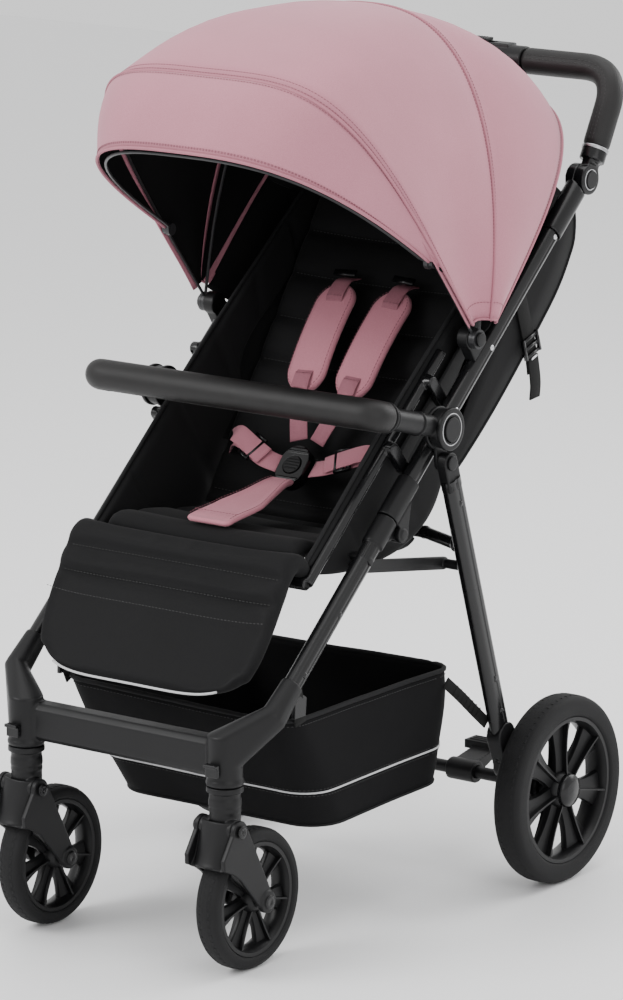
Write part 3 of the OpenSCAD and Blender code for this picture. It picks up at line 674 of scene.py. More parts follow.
def makeFrameTubes():
    w, d = tubeLine["width"], tubeLine["depth"]
    for side, s in sides:
        x = s * tubeLine["x"]
        tube = ovalTube("sideTube_" + side, along(0.2971, 0, x), along(0.812, 0, x), w, d, paintBlack)
        place(tube, "root", "frame_black", "pusher_tube_" + side)
        lower = ovalTube("frontTube_" + side, along(0.014, 0, x), along(0.256, 0, x), w, d, paintBlack)
        place(lower, "front_frame", "frame_black")
        # the collar, hinge lug and brace boss at the top of the front leg
        mouldedCopy("foldCollar_" + side, ["front_leg_" + side], "front_frame", "moulded_black", mouldBlack,
                    voxel=0.0011, rounds=4, cut=[(along(0.2255), -tubeAhead)])
        lw, ld = legLine["width"], legLine["depth"]
        x = s * legLine["x"]
        rear = ovalTube("rearTube_" + side, onLeg(0.022, x), onLeg((legFoot - legTop).length, x), lw, ld, paintBlack)
        place(rear, "rear_frame", "frame_black")
        mouldedCopy("rearKnuckle_" + side, ["rear_leg_" + side], "rear_frame", "moulded_black", mouldBlack,
                    voxel=0.0011, cut=[(onLeg(0.036), legAhead)])
    print("frame tubes made")


def makeFrameMouldings():
    mouldedCopy("foldSleeves", ["sleeves"], "root", "moulded_black", mouldBlack, voxel=0.0010, rounds=3)
    mouldedCopy("handleSleeves", ["handle_joints"], "root", "moulded_black", mouldGloss, voxel=0.0012)
    mouldedCopy("canopyBrackets", ["canopy_clips"], "root", "moulded_black", mouldBlack, voxel=0.0011)
    for side, s in sides:
        mouldedCopy("barHub_" + side, ["hub_" + side], "root", "moulded_black", mouldBlack, voxel=0.0011, rounds=3)
        mouldedCopy("swivelTab_" + side, ["swivel_lock_" + side], "swivel_lock_" + side, "moulded_black", mouldGloss,
                    voxel=0.0008, rounds=3)
        mouldedCopy("braceArm_" + side, ["brace_" + side], "braces", "frame_black", mouldBlack, voxel=0.001, rounds=3)
    print("frame mouldings made")


def repaint(node, material):
    data = frame["nodes"][node].data
    data.materials.clear()
    data.materials.append(material)


def makeRivets():
    """Rivet heads on the outer faces of the tubes."""
    for side, s in sides:
        out = (s, 0, 0)
        x = s * (tubeLine["x"] + tubeLine["width"] / 2 - 0.0004)
        upper = rivets("tubeRivets_" + side, [along(run, 0, x) for run in (0.335, 0.438, 0.462, 0.560, 0.738)],
                       out, frameSizes["rivet"], frameSizes["rivetHeight"], zincBright)
        place(upper, "root", "frame_black")
        lower = rivets("legRivets_" + side, [along(run, 0, x) for run in (0.060, 0.150)],
                       out, frameSizes["rivet"], frameSizes["rivetHeight"], paintBlack)
        place(lower, "front_frame", "frame_black")
        x = s * (legLine["x"] + legLine["width"] / 2 - 0.0004)
        rear = rivets("rearRivets_" + side, [onLeg(run, x) for run in (0.055, 0.30, 0.345)],
                      out, frameSizes["rivet"], frameSizes["rivetHeight"], paintBlack)
        place(rear, "rear_frame", "frame_black")


# ---- wheels and casters ----

frontWheel = {"radius": 0.085, "width": 0.032, "x": 0.149, "hub": 0.017, "hubWidth": 0.034, "spokes": 7,
              "tyre": 0.0165, "spokeWidth": 0.0130, "spokeDepth": 0.0152, "treadBlocks": 54}
rearWheel = {"radius": 0.118, "width": 0.038, "x": 0.248, "hub": 0.024, "hubWidth": 0.036, "spokes": 7,
             "tyre": 0.0265, "spokeWidth": 0.0190, "spokeDepth": 0.0190, "treadBlocks": 72}


def tyreProfile(size):
    """Closed outline of the tyre's section: bead, round shoulders and a nearly flat tread."""
    outer, w = size["radius"] - 0.0009, size["width"] / 2
    inner = size["radius"] - size["tyre"] - 0.0004
    out = []
    for turn in (-1, 1):
        arc = []
        for t in np.linspace(0, math.pi / 2, 9):
            arc.append((turn * (w - 0.010 + 0.010 * math.cos(t) ** 0.8), outer - 0.0105 + 0.0105 * math.sin(t) ** 0.8))
        out.append(arc)
    bead = [(-w * 0.62, inner), (-w * 0.92, inner + 0.0018), (-w, inner + 0.005)]
    return (bead + out[0] + [(-w * 0.3, outer + 0.0008), (w * 0.3, outer + 0.0008)] + out[1][::-1]
            + [(-x, r) for x, r in bead[::-1]])


def makeTyre(name, centre, size, body, node):
    tyre = lathe(name + "Body", centre, tyreProfile(size), foamTyre, 96)
    r, w = size["radius"], size["width"] / 2
    count = size["treadBlocks"]
    pitch = 2 * math.pi / count
    blocks = []
    # each tread block is a slanted pad on one shoulder, with a short bar between in the middle
    for sign in (-1, 1):
        verts = []
        for x, lift in ((0.10, 0.0), (0.48, 0.0003), (0.80, 0.0032), (0.97, 0.0088)):
            for turn in (-0.32, 0.20):
                angle = pitch * (turn + 0.45 * x + (0.5 if sign > 0 else 0))
                for height in (-0.0016, 0.0):
                    rr = r - lift + height
                    verts.append((centre[0] + sign * x * w, centre[1] + rr * math.sin(angle),
                                  centre[2] + rr * math.cos(angle)))
        faces = []
        for i in range(3):
            a = 4 * i
            faces += [(a, a + 1, a + 5, a + 4), (a + 1, a + 3, a + 7, a + 5), (a + 3, a + 2, a + 6, a + 7)]
        faces += [(0, 2, 3, 1), (12, 13, 15, 14)]
        blocks.append(facesOut(makePiece(name + "Block", verts, faces, foamTyre, False)))
    tread = ringOf(join(name + "Tread", blocks), count, centre, foamTyre)
    obj = join(name, [tyre, tread])
    return place(obj, body, "tyre", node)


def makeRim(name, centre, size, side, body, node, capRadius):
    r = size["radius"] - size["tyre"]
    w, hub, hw = size["width"] / 2 * 0.86, size["hub"], size["hubWidth"] / 2
    ring = lathe(name + "Ring", centre, [(-w, r - 0.0046), (-w, r), (-w + 0.0015, r + 0.0012), (w - 0.0015, r + 0.0012),
                                          (w, r), (w, r - 0.0046), (w - 0.003, r - 0.0062), (w * 0.45, r - 0.0085),
                                          (0, r - 0.0093), (-w * 0.45, r - 0.0085), (-w + 0.003, r - 0.0062)],
                 wheelBlack, 96)
    core = lathe(name + "Hub", centre, [(-hw, 0.0066), (-hw, hub * 0.62), (-hw + 0.002, hub * 0.74),
                                         (-hw * 0.62, hub * 0.96), (-hw * 0.2, hub * 1.02), (hw * 0.2, hub * 1.02),
                                         (hw * 0.62, hub * 0.96), (hw - 0.002, hub * 0.74), (hw, hub * 0.62),
                                         (hw, 0.0066)], wheelBlack, 64)
    # one paddle: a narrow waist at the hub, flaring into the ring, thicker along its middle
    rows = []
    for t in np.linspace(0, 1, 9):
        radius = hub * 0.8 + (r - 0.0065 - hub * 0.8) * t
        flare = 0.46 + 0.16 * (1 - t) ** 3 + 0.86 * t ** 1.9
        half = size["spokeWidth"] * flare
        depth = size["spokeDepth"] * (0.62 + 0.16 * (1 - t) ** 2 + 0.22 * t * t)
        rib = 0.0011
        section = [(-half, 0), (-half * 0.9, depth * 0.30), (-rib, depth * 0.52), (-rib, depth), (rib, depth),
                   (rib, depth * 0.52), (half * 0.9, depth * 0.30), (half, 0), (half * 0.9, -depth * 0.30),
                   (rib, -depth * 0.52), (rib, -depth), (-rib, -depth), (-rib, -depth * 0.52),
                   (-half * 0.9, -depth * 0.30)]
        rows += [(centre[0] + b, centre[1] + a, centre[2] + radius) for a, b in section]
    faces = gridFaces(9, 14, closed=True) + [tuple(range(14))[::-1], tuple(range(112, 126))]
    spoke = facesOut(makePiece(name + "Spoke", rows, faces, wheelBlack))
    spokes = ringOf(spoke, size["spokes"], centre, wheelBlack)
    out = side * hw
    cap = lathe(name + "Cap", centre, [(out - side * 0.004, 0.0001), (out - side * 0.004, capRadius),
                                        (out + side * 0.0005, capRadius), (out + side * 0.0032, capRadius * 0.92),
                                        (out + side * 0.0050, capRadius * 0.60), (out + side * 0.0054, capRadius * 0.55),
                                        (out + side * 0.0060, 0.0001)], mouldGloss, 64)
    obj = join(name, [ring, core, spokes, cap])
    shadeByAngle(obj, 48)
    return place(obj, body, "wheel_black", node)


def makeWheels():
    for side, s in sides:
        centre = pivot["front_wheel_spin_" + side]
        makeTyre("frontTyre_" + side, centre, frontWheel, "front_wheel_" + side, "front_tyre_" + side)
        makeRim("frontRim_" + side, centre, frontWheel, s, "front_wheel_" + side, "front_rim_" + side, 0.0085)
        centre = pivot["rear_wheel_spin_" + side]
        makeTyre("rearTyre_" + side, centre, rearWheel, "rear_wheel_" + side, "rear_tyre_" + side)
        makeRim("rearRim_" + side, centre, rearWheel, s, "rear_wheel_" + side, "rear_rim_" + side, 0.021)
    print("wheels made")


casterSizes = {"stemRadius": 0.0220, "forkPin": 0.0078, "lug": 0.0125,
               "hoodLow": (0.1405, 0.0290, 0.0315), "hoodHigh": (0.1925, 0.0236, 0.0140), "hoodThick": 0.0032}


def forkCover(x, middle):
    # the rounded hood over the tyre: wide below, narrowing up to the stem
    size = casterSizes
    rows, columns = 12, 25
    verts = []
    for thin in (0, size["hoodThick"]):
        for t in np.linspace(0, 1, rows):
            (h0, w0, f0), (h1, w1, f1) = size["hoodLow"], size["hoodHigh"]
            w, f, z = w0 + (w1 - w0) * t - thin, f0 + (f1 - f0) * t ** 0.8 - thin, h0 + (h1 - h0) * t
            for a in np.linspace(-math.pi / 2, math.pi / 2, columns):
                verts.append((x + w * math.sin(a), middle - f * abs(math.cos(a)) ** 0.8, z))
    half = rows * columns
    faces = gridFaces(rows, columns) + gridFaces(rows, columns, half, flip=True)
    for k in range(columns - 1):
        faces += [(b + k, b + k + 1, b + k + 1 + half, b + k + half) for b in (0, half - columns)]
    for i in range(rows - 1):
        for e in (0, columns - 1):
            p, q = i * columns + e, (i + 1) * columns + e
            faces.append((p, q, q + half, p + half))
    return facesOut(makePiece("hood", verts, faces, mouldBlack))


def makeCasters():
    for side, s in sides:
        x = s * frontWheel["x"]
        axle, fork = pivot["front_wheel_spin_" + side], pivot["fork_spring_" + side]
        swivel = pivot["caster_swivel_" + side]
        rings = []
        # bands round the stem housing, and the bosses that carry the fork's pin
        for height, radius, deep in ((0.2275, 0.0222, 0.006), (0.2125, 0.0196, 0.008), (0.204, 0.0192, 0.005)):
            band = bmesh.new()
            at = Matrix.Translation((x, swivel.y, height))
            bmesh.ops.create_cone(band, cap_ends=True, segments=48, radius1=radius, radius2=radius * 0.985, depth=deep,
                                  matrix=at)
            mesh = bpy.data.meshes.new("band")
            band.to_mesh(mesh)
            band.free()
            rings.append(bpy.data.objects.new("band", mesh))
        for turn in (-1, 1):
            rings.append(cylinderX("boss", (fork.y, fork.z), casterSizes["lug"], x + turn * 0.0120, x + turn * 0.0230))
        mouldedCopy("casterStem_" + side, ["caster_stem_" + side], "caster_" + side, "moulded_black", mouldBlack,
                    voxel=0.0010, rounds=5, extras=rings)
        extras = [forkCover(x, fork.y)]
        for turn in (-1, 1):
            extras.append(cylinderX("lug", (axle.y, axle.z), 0.0135, x + turn * 0.0236, x + turn * 0.0318))
        mouldedCopy("casterFork_" + side, ["caster_fork_" + side], "fork_" + side, "moulded_black", mouldBlack,
                    voxel=0.0009, rounds=5, extras=extras)
        caps = []
        for turn in (-1, 1):
            a = x + turn * 0.0318
            caps.append(cylinderX("axleCap", (axle.y, axle.z), 0.0085, a, a + turn * 0.0022, mouldGloss, 0.0007))
        place(join("axleCaps_" + side, caps), "fork_" + side, "moulded_black")
        screws = []
        for turn in (-1, 1):
            a = x + turn * 0.0322
            screws.append(cylinderX("head", (fork.y, fork.z), casterSizes["forkPin"], a, a + turn * 0.0016, mouldGloss,
                                    0.0008, 32))
            for tilt in (0.6, 0.6 + math.pi / 2):
                c, sn = math.cos(tilt) * 0.0040, math.sin(tilt) * 0.0040
                screws.append(sweptPiece("slot", [(a + turn * 0.0016, fork.y - c, fork.z - sn),
                                                  (a + turn * 0.0016, fork.y + c, fork.z + sn)],
                                         strapProfile(0.0004, 0.0013), xAxis, paintBlack))
        place(join("forkScrews_" + side, screws), "caster_" + side, "moulded_black")
    print("casters made")


bridgeSizes = {"bandRadius": 0.0222, "bandHeight": 0.0045}


def makeBridge():
    bands = []
    for side, s in sides:
        swivel = pivot["caster_swivel_" + side]
        x = s * frontWheel["x"]
        for height, radius in ((0.2365, 0.0226), (0.2865, 0.0206)):
            ring = bmesh.new()
            bmesh.ops.create_cone(ring, cap_ends=True, segments=64, radius1=radius, radius2=radius,
                                  depth=bridgeSizes["bandHeight"], matrix=Matrix.Translation((x, swivel.y, height)))
            mesh = bpy.data.meshes.new("band")
            ring.to_mesh(mesh)
            ring.free()
            bands.append(bpy.data.objects.new("band", mesh))
        # the dome on top of the socket
        dome = bmesh.new()
        bmesh.ops.create_uvsphere(dome, u_segments=48, v_segments=24, radius=0.0195,
                                  matrix=Matrix.Translation((x, swivel.y, 0.282)) @ Matrix.Diagonal((1, 1, 0.62, 1)))
        mesh = bpy.data.meshes.new("dome")
        dome.to_mesh(mesh)
        dome.free()
        bands.append(bpy.data.objects.new("dome", mesh))
    outline = [(-0.3655, 0.246), (-0.3655, 0.279), (-0.360, 0.2855), (-0.340, 0.2855), (-0.3345, 0.280),
               (-0.3345, 0.246), (-0.340, 0.2400), (-0.360, 0.2400)]
    bands.append(outlinePlate("bar", outline, -0.140, 0.140, mouldBlack, 0))
    mouldedCopy("frontBridge", ["front_bridge"], "front_frame", "moulded_black", mouldBlack, voxel=0.0014, rounds=9,
                extras=bands)
    print("bridge made")


def makeRearAxle():
    bosses = []
    axle = pivot["rear_wheel_spin_right"]
    for s in (-1, 1):
        bosses.append(cylinderX("dome", (axle.y, axle.z), 0.0235, s * 0.199, s * 0.2285, bevel=0.006))
        bosses.append(cylinderX("inner", (axle.y, axle.z), 0.0185, s * 0.1845, s * 0.2045, bevel=0.005))
    mouldedCopy("rearAxleHousing", ["rear_axle"], "rear_frame", "moulded_black", mouldBlack, voxel=0.0014, rounds=4,
                extras=bosses)
    ribs = [((axle.y + 0.045) + 0.0065 * k, axle.z + 0.0268) for k in range(3)]
    extras = [cylinderX("rib", at, 0.0016, 0.085, 0.131) for at in ribs]
    mouldedCopy("brakePedal", ["brake_pedal"], "brake_pedal", "moulded_black", mouldBlack, voxel=0.001, rounds=4,
                extras=extras)
    print("rear axle made")


# ---- canopy ----

# each arch: lean above level, height, half width, squareness
canopySizes = {"front": (51, 0.427, 0.210, 4.2), "middle": (99, 0.386, 0.222, 2.42), "rear": (134, 0.363, 0.218, 3.9),
               "visor": (31.2, 0.277, 0.197, 2.95), "start": 0.026, "cloth": 0.0022, "sag": 0.007, "bulge": 0.006,
               "columns": 97, "frontRows": 15, "rearRows": 11, "visorRows": 13, "visorSwell": 0.014,
               "piping": 0.0019, "hem": 0.013}
canopyHinge = pivot["canopy_fold"]
visorHinge = pivot["visor_flip"]


def archPath(arch, at, start, columns, inset=0.0, end=None):
    """Evenly spaced points along a superellipse arch that begins and ends `start` up from its hinge."""
    lean, height, half, n = math.radians(arch[0]), arch[1] - inset, arch[2] - inset, arch[3]
    s = np.linspace(0, 1, 900)
    t = math.pi * s ** 3 / (s ** 3 + (1 - s) ** 3)
    rise = height * np.sin(t) ** (2 / n)
    keep = rise >= start
    across = half * np.sign(np.cos(t)) * np.abs(np.cos(t)) ** (2 / n)
    dense = [(across[k], at[1] - rise[k] * math.cos(lean), at[2] + rise[k] * math.sin(lean))
             for k in range(len(s)) if keep[k]]
    run = np.concatenate([[0], np.cumsum(np.linalg.norm(np.diff(np.array(dense), axis=0), axis=1))])
    at_ = np.linspace(0, run[-1], columns)
    dense = np.array(dense)
    return np.array([[np.interp(q, run, dense[:, k]) for k in range(3)] for q in at_])


def mixArch(a, b, share):
    return tuple(p + (q - p) * share for p, q in zip(a, b))


def gridNormals(grid):
    across = np.gradient(grid, axis=1)
    down = np.gradient(grid, axis=0)
    normal = np.cross(down, across)
    return normal / np.maximum(np.linalg.norm(normal, axis=2, keepdims=True), 1e-12)


def clothShell(name, grid, thick, outside, lining, outward):
    """A sheet with its lining from a grid of outer points; outward is a point inside the hollow."""
    rows, cols = grid.shape[:2]
    normal = gridNormals(grid)
    if np.sum(normal * (grid - np.array(outward))) < 0:
        normal = -normal
    inner = grid - normal * thick
    verts = np.concatenate([grid.reshape(-1, 3), inner.reshape(-1, 3)])
    half = rows * cols
    faces = gridFaces(rows, cols)
    faces += gridFaces(rows, cols, half, flip=True)
    outerCount = 2 * (rows - 1) * (cols - 1)
    for k in range(cols - 1):
        for base in (0, (rows - 1) * cols):
            faces.append((base + k, base + k + half, base + k + 1 + half, base + k + 1))
    for i in range(rows - 1):
        for edge in (0, cols - 1):
            a, b = i * cols + edge, (i + 1) * cols + edge
            faces.append((a, b, b + half, a + half))
    obj = makePiece(name, verts, faces, outside)
    obj.data.materials.append(lining)
    index = [0] * len(faces)
    for f in range((rows - 1) * (cols - 1), outerCount):
        index[f] = 1
    obj.data.polygons.foreach_set("material_index", index)
    return facesOut(obj), normal


def gentleFolds(grid, normal, height, seed, scale, edge=0.15):
    """Slight unevenness of taut cloth, fading out at the seams."""
    rows, cols = grid.shape[:2]
    out = grid.copy()
    for i in range(rows):
        fade = math.sin(math.pi * i / (rows - 1)) ** 0.6
        for k in range(cols):
            side = min(1.0, min(k, cols - 1 - k) / (cols * edge))
            p = Vector(grid[i, k]) * scale + Vector((seed, seed * 0.7, 0))
            out[i, k] += normal[i, k] * height * fade * (0.35 + 0.65 * side) * noise.noise(p)
    return out


def canopyRows(a, b, count, swell, rise=1.0):
    rows = []
    for i in range(count):
        share = i / (count - 1)
        arch = mixArch(a, b, share)
        rows.append(archPath(arch, canopyHinge, canopySizes["start"], canopySizes["columns"],
                             -swell * math.sin(math.pi * share) ** rise))
    return np.array(rows)


def followCanopy(obj):
    """Bakes the piece's transform into its mesh."""
    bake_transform(obj)
    return obj


def followVisor(obj):
    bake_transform(obj)
    return obj


def makeCanopy():
    size = canopySizes
    front = canopyRows(size["front"], size["middle"], size["frontRows"], -size["sag"])
    rear = canopyRows(size["middle"], size["rear"], size["rearRows"], size["bulge"])
    inside = (0, canopyHinge.y, canopyHinge.z + 0.1)
    front = gentleFolds(front, gridNormals(front), 0.0022, 3.1, 14)
    grid = np.concatenate([front, rear[1:]])
    cover, normal = clothShell("canopyCover", grid, size["cloth"], canopyPink, liningBlack, inside)
    seamRows = (0, size["frontRows"] - 1, len(grid) - 1)
    pieces, threads, tapes = [], [], []
    for row in seamRows:
        line = [Vector(p) + Vector(n) * 0.0006 for p, n in zip(grid[row], normal[row])]
        pieces.append(sweptPiece("piping", line, roundProfile(size["piping"], 8), [Vector(n) for n in normal[row]],
                                 canopyEdge))
        # the tape that holds the bow, under the seam
        inner = [Vector(p) - Vector(n) * 0.0042 for p, n in zip(grid[row], normal[row])]
        down = [Vector(n) for n in normal[row]]
        acrossRow = [(inner[min(k + 1, len(inner) - 1)] - inner[max(k - 1, 0)]).normalized().cross(down[k])
                     for k in range(len(inner))]
        tapes.append(sweptPiece("bowTape", inner, strapProfile(0.009, 0.0012), acrossRow, canopyEdge))
    for row, reach in ((0, 0.22), (0, 0.55), (seamRows[1] - 1, 0.75), (seamRows[1], 0.25), (seamRows[2] - 1, 0.7)):
        a, b = grid[row], grid[row + 1]
        threads.append([Vector(p + (q - p) * reach + n * 0.0004) for p, q, n in zip(a, b, normal[row])])
    for column in (0, -1):
        edge = [Vector(grid[i, column]) for i in range(len(grid))]
        pieces.append(sweptPiece("hem", evenPath(edge, 0.006), roundProfile(0.0017, 8), (1, 0, 0), canopyEdge))
        near = 2 if column == 0 else -3
        threads.append([Vector(grid[i, near] + normal[i, near] * 0.0004) for i in range(len(grid))])
    piping = join("canopyPiping", pieces)
    thread = stitches("canopyStitches", threads, threadPink, 0.0042, 0.0030, 0.0009)
    tape = join("canopyBowTapes", tapes)
    for piece in (cover, piping, thread, tape):
        followCanopy(piece)
    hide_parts("canopy_front", "canopy_rear")


def makeVisor():
    size = canopySizes
    top = archPath(size["front"], canopyHinge, 0.122, size["columns"], 0.0006)
    low = archPath(size["visor"], visorHinge, 0.004, size["columns"])
    rows = []
    for i in range(size["visorRows"]):
        v = i / (size["visorRows"] - 1)
        u = np.linspace(0, 1, size["columns"])
        swell = size["visorSwell"] * math.sin(math.pi * min(1, v * 0.9 + 0.05)) * np.sin(math.pi * u) ** 0.7
        rows.append(top + (low - top) * v + swell[:, None] * np.array([0, -0.62, 0.78]))
    grid = np.array(rows)
    inside = (0, canopyHinge.y, canopyHinge.z + 0.05)
    cover, normal = clothShell("visorCover", grid, size["cloth"], canopyPink, liningBlack, inside)
    last = size["visorRows"] - 1
    rim = [Vector(p) + Vector(n) * 0.0004 for p, n in zip(grid[last], normal[last])]
    binding = sweptPiece("visorBinding", rim, roundProfile(0.0021, 8), [Vector(n) for n in normal[last]], canopyEdge)
    corner = []
    for column in (0, -1):
        edge = [Vector(grid[i, column]) for i in range(size["visorRows"])]
        corner.append(sweptPiece("corner", evenPath(edge, 0.006), strapProfile(0.005, 0.0034), (0, 0, 1), liningBlack))
    corner = join("visorCorners", corner)
    a, b = grid[last - 1], grid[last]
    threads = [[Vector(p + (q - p) * reach + n * 0.0004) for p, q, n in zip(a, b, normal[last])]
               for reach in (0.28, 0.42)]
    threads.append([Vector(p + (q - p) * 0.5 + n * 0.0005) for p, q, n in zip(grid[0], grid[1], normal[0])])
    thread = stitches("visorStitches", threads, threadPink, 0.0042, 0.0030, 0.0009)
    for piece in (cover, binding, thread, corner):
        followVisor(piece)
    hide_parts("visor")


def makeBows():
    for node in ("canopy_bow_front", "canopy_bow_middle", "visor_wire"):
        repaint(node, bowSteel)


# ---- padded pieces ----

def puff(obj, pinned, pressure, cap, stiffness=14, frames=20):
    """Fills the piece with air while its seams are held, then caps how far any point has moved."""
    group = obj.vertex_groups.new(name="seams")
    group.add([int(k) for k in pinned], 1.0, "ADD")
    cloth = obj.modifiers.new("air", "CLOTH")
    setup = cloth.settings
    setup.quality = 5
    setup.mass = 0.3
    setup.tension_stiffness = setup.compression_stiffness = stiffness
    setup.shear_stiffness, setup.bending_stiffness = 5, 0.6
    setup.use_pressure, setup.uniform_pressure_force = True, pressure
    setup.vertex_group_mass, setup.pin_stiffness = "seams", 1
    setup.effector_weights.gravity = 0
    cloth.collision_settings.use_collision = False
    cloth.point_cache.frame_start, cloth.point_cache.frame_end = 1, frames
    before = np.array([v.co for v in obj.data.vertices])
    for f in range(1, frames + 1):
        scene.frame_set(f)
    evaluated = obj.evaluated_get(bpy.context.evaluated_depsgraph_get())
    after = np.array([v.co for v in evaluated.data.vertices])
    obj.modifiers.clear()
    obj.vertex_groups.clear()
    scene.frame_set(1)
    move = after - before
    far = np.linalg.norm(move, axis=1, keepdims=True)
    move *= np.minimum(1, cap / np.maximum(far, 1e-9))
    obj.data.vertices.foreach_set("co", (before + move).astype(np.float32).ravel())
    obj.data.update()
    return obj


def cushionGrid(name, at, depth, across, down, material, round_=0.016, seams=(), seamDepth=0.006, crown=0.0,
                width=1.0, length=1.0, pressure=4.0, cap=0.007, backSeams=0.3):
    """A closed pad over the surface at(s, t), with its normal; s and t run 0 to 1. Channels lie at the seams' t.
    width and length are its size, for the round of its edges."""
    s = np.linspace(0, 1, across)
    t = np.linspace(0, 1, down)
    front, back = [], []
    for i, tt in enumerate(t):
        for k, ss in enumerate(s):
            p, n = at(ss, tt)
            edge = min(ss * width, (1 - ss) * width, tt * length, (1 - tt) * length)
            body = math.sqrt(max(0.0, 1 - (1 - min(1, edge / round_)) ** 2))
            near = min([abs(tt - q) * length for q in seams] or [1])
            channel = seamDepth * math.exp(-(near / 0.0075) ** 2) * min(1, edge / 0.012)
            lift = crown * math.sin(math.pi * ss) * math.sin(math.pi * tt)
            front.append(p + n * (depth / 2 * body - channel + lift))
            back.append(p - n * (depth / 2 * body - channel * backSeams))
    count = across * down
    verts = front + back
    faces = gridFaces(down, across) + gridFaces(down, across, count, flip=True)
    obj = makePiece(name, verts, faces, material)
    pinned = set()
    for i in range(down):
        for k in range(across):
            rim = i in (0, down - 1) or k in (0, across - 1)
            onSeam = any(abs(t[i] - q) < 0.5 / (down - 1) for q in seams)
            if rim or onSeam:
                pinned.update((i * across + k, count + i * across + k))
    puff(obj, pinned, pressure, cap)
    facesOut(obj)
    soft = obj.modifiers.new("round", "SUBSURF")
    soft.levels = soft.render_levels = 1
    return applyModifiers(obj)


def strap(name, points, width, thick, normals, material, steps=6):
    """Flat webbing along a smooth line; normals is the direction its face looks, one or one per point."""
    path = smoothPath(points, steps)
    if isinstance(normals, (Vector, tuple)):
        normals = [normals] * len(points)
    dense = smoothPath([Vector(n) for n in normals], steps)
    across = []
    for k, n in enumerate(dense):
        ahead = path[min(k + 1, len(path) - 1)] - path[max(k - 1, 0)]
        across.append(ahead.cross(n).normalized())
    return sweptPiece(name, path, strapProfile(width, thick), across, material)


# ---- seat ----

seatSizes = {"half": 0.146, "backAngle": 55.0, "crease": (-0.017, 0.472), "backLength": 0.470, "backThick": 0.028,
             "channels": 8, "wingX": 0.1535, "wingThick": 0.014, "shellHalf": 0.162}
crease = Vector((0, *seatSizes["crease"]))
backUp = Vector((0, math.cos(math.radians(seatSizes["backAngle"])), math.sin(math.radians(seatSizes["backAngle"]))))
backFront = Vector((0, -backUp.z, backUp.y))


def onBack(run, out=0.0, x=0.0):
    """A point of the backrest's face, run up from the crease and out in front of it."""
    return crease + backUp * run + backFront * out + xAxis * x


def makeBackrest():
    size = seatSizes
    half, thick = size["half"] - 0.001, size["backThick"]
    low, high = -0.006, size["backLength"]

    def at(s, t):
        curve = 0.010 * (2 * s - 1) ** 2
        return onBack(low + (high - low) * t, -thick / 2 + curve - 0.002, (2 * s - 1) * half), backFront

    count = size["channels"]
    seams = [(k + 0.35) / count for k in range(count)]
    cushion = cushionGrid("backCushion", at, thick * 0.92, 41, 97, seatBlack, seams=seams, seamDepth=0.009,
                          width=2 * half, length=high - low, cap=0.0055)
    place(cushion, "backrest", "seat_fabric", "backrest")
    lines = [[onBack(low + (high - low) * q, -0.0088 + 0.010 * (2 * s - 1) ** 2, (2 * s - 1) * half)
              for s in np.linspace(0.05, 0.95, 30)] for q in seams]
    thread = stitches("backStitches", lines, threadBlack, 0.005, 0.0034, 0.001)
    place(thread, "backrest", "seat_fabric")
    print("backrest made")


def wingOutline():
    """Side view of a wing: its upper edge along the tube and its lower edge along seat and back."""
    upper = [along(run, rise) for run, rise in ((0.172, 0.050), (0.24, 0.051), (0.33, 0.052), (0.42, 0.052),
                                                (0.50, 0.050), (0.60, 0.045), (0.70, 0.040), (0.775, 0.036))]
    lower = [Vector((0, y, z)) for y, z in ((-0.203, 0.452), (-0.120, 0.440), (-0.02, 0.445), (0.050, 0.480),
                                            (0.078, 0.545))] + [along(0.50, -0.012), along(0.62, -0.012),
                                                                along(0.755, -0.012)]
    return smoothPath(upper, 6), smoothPath(lower, 6)


def makeWings():
    size = seatSizes
    upper, lower = wingOutline()
    upper, lower = evenPath(upper, 0.012), evenPath(lower, 0.012)
    n = 61
    upper = [upper[int(round(k * (len(upper) - 1) / (n - 1)))] for k in range(n)]
    lower = [lower[int(round(k * (len(lower) - 1) / (n - 1)))] for k in range(n)]
    for side, s in sides:
        def at(u, t, s=s):
            k = min(int(t * (n - 1)), n - 2)
            f = t * (n - 1) - k
            a, b = upper[k].lerp(upper[k + 1], f), lower[k].lerp(lower[k + 1], f)
            p = b.lerp(a, u)
            flare = 0.006 * u ** 2
            return Vector((s * (size["wingX"] + flare), p.y, p.z)), Vector((-s, 0, 0))

        wing = cushionGrid("sideWing_" + side, at, size["wingThick"], 21, 91, seatBlack, round_=0.010, width=0.09,
                           length=0.70, seams=(0.16, 0.34, 0.52, 0.70, 0.86), seamDepth=0.003, cap=0.003)
        place(wing, "root", "seat_fabric", "side_wings")
        edge = [Vector((s * (size["wingX"] + 0.006), p.y, p.z)) + tubeUp * 0.0005 for p in upper]
        piping = sweptPiece("wingPiping_" + side, edge, roundProfile(0.0024, 8), xAxis, bindingBlack)
        place(piping, "root", "seat_fabric")
    print("wings made")


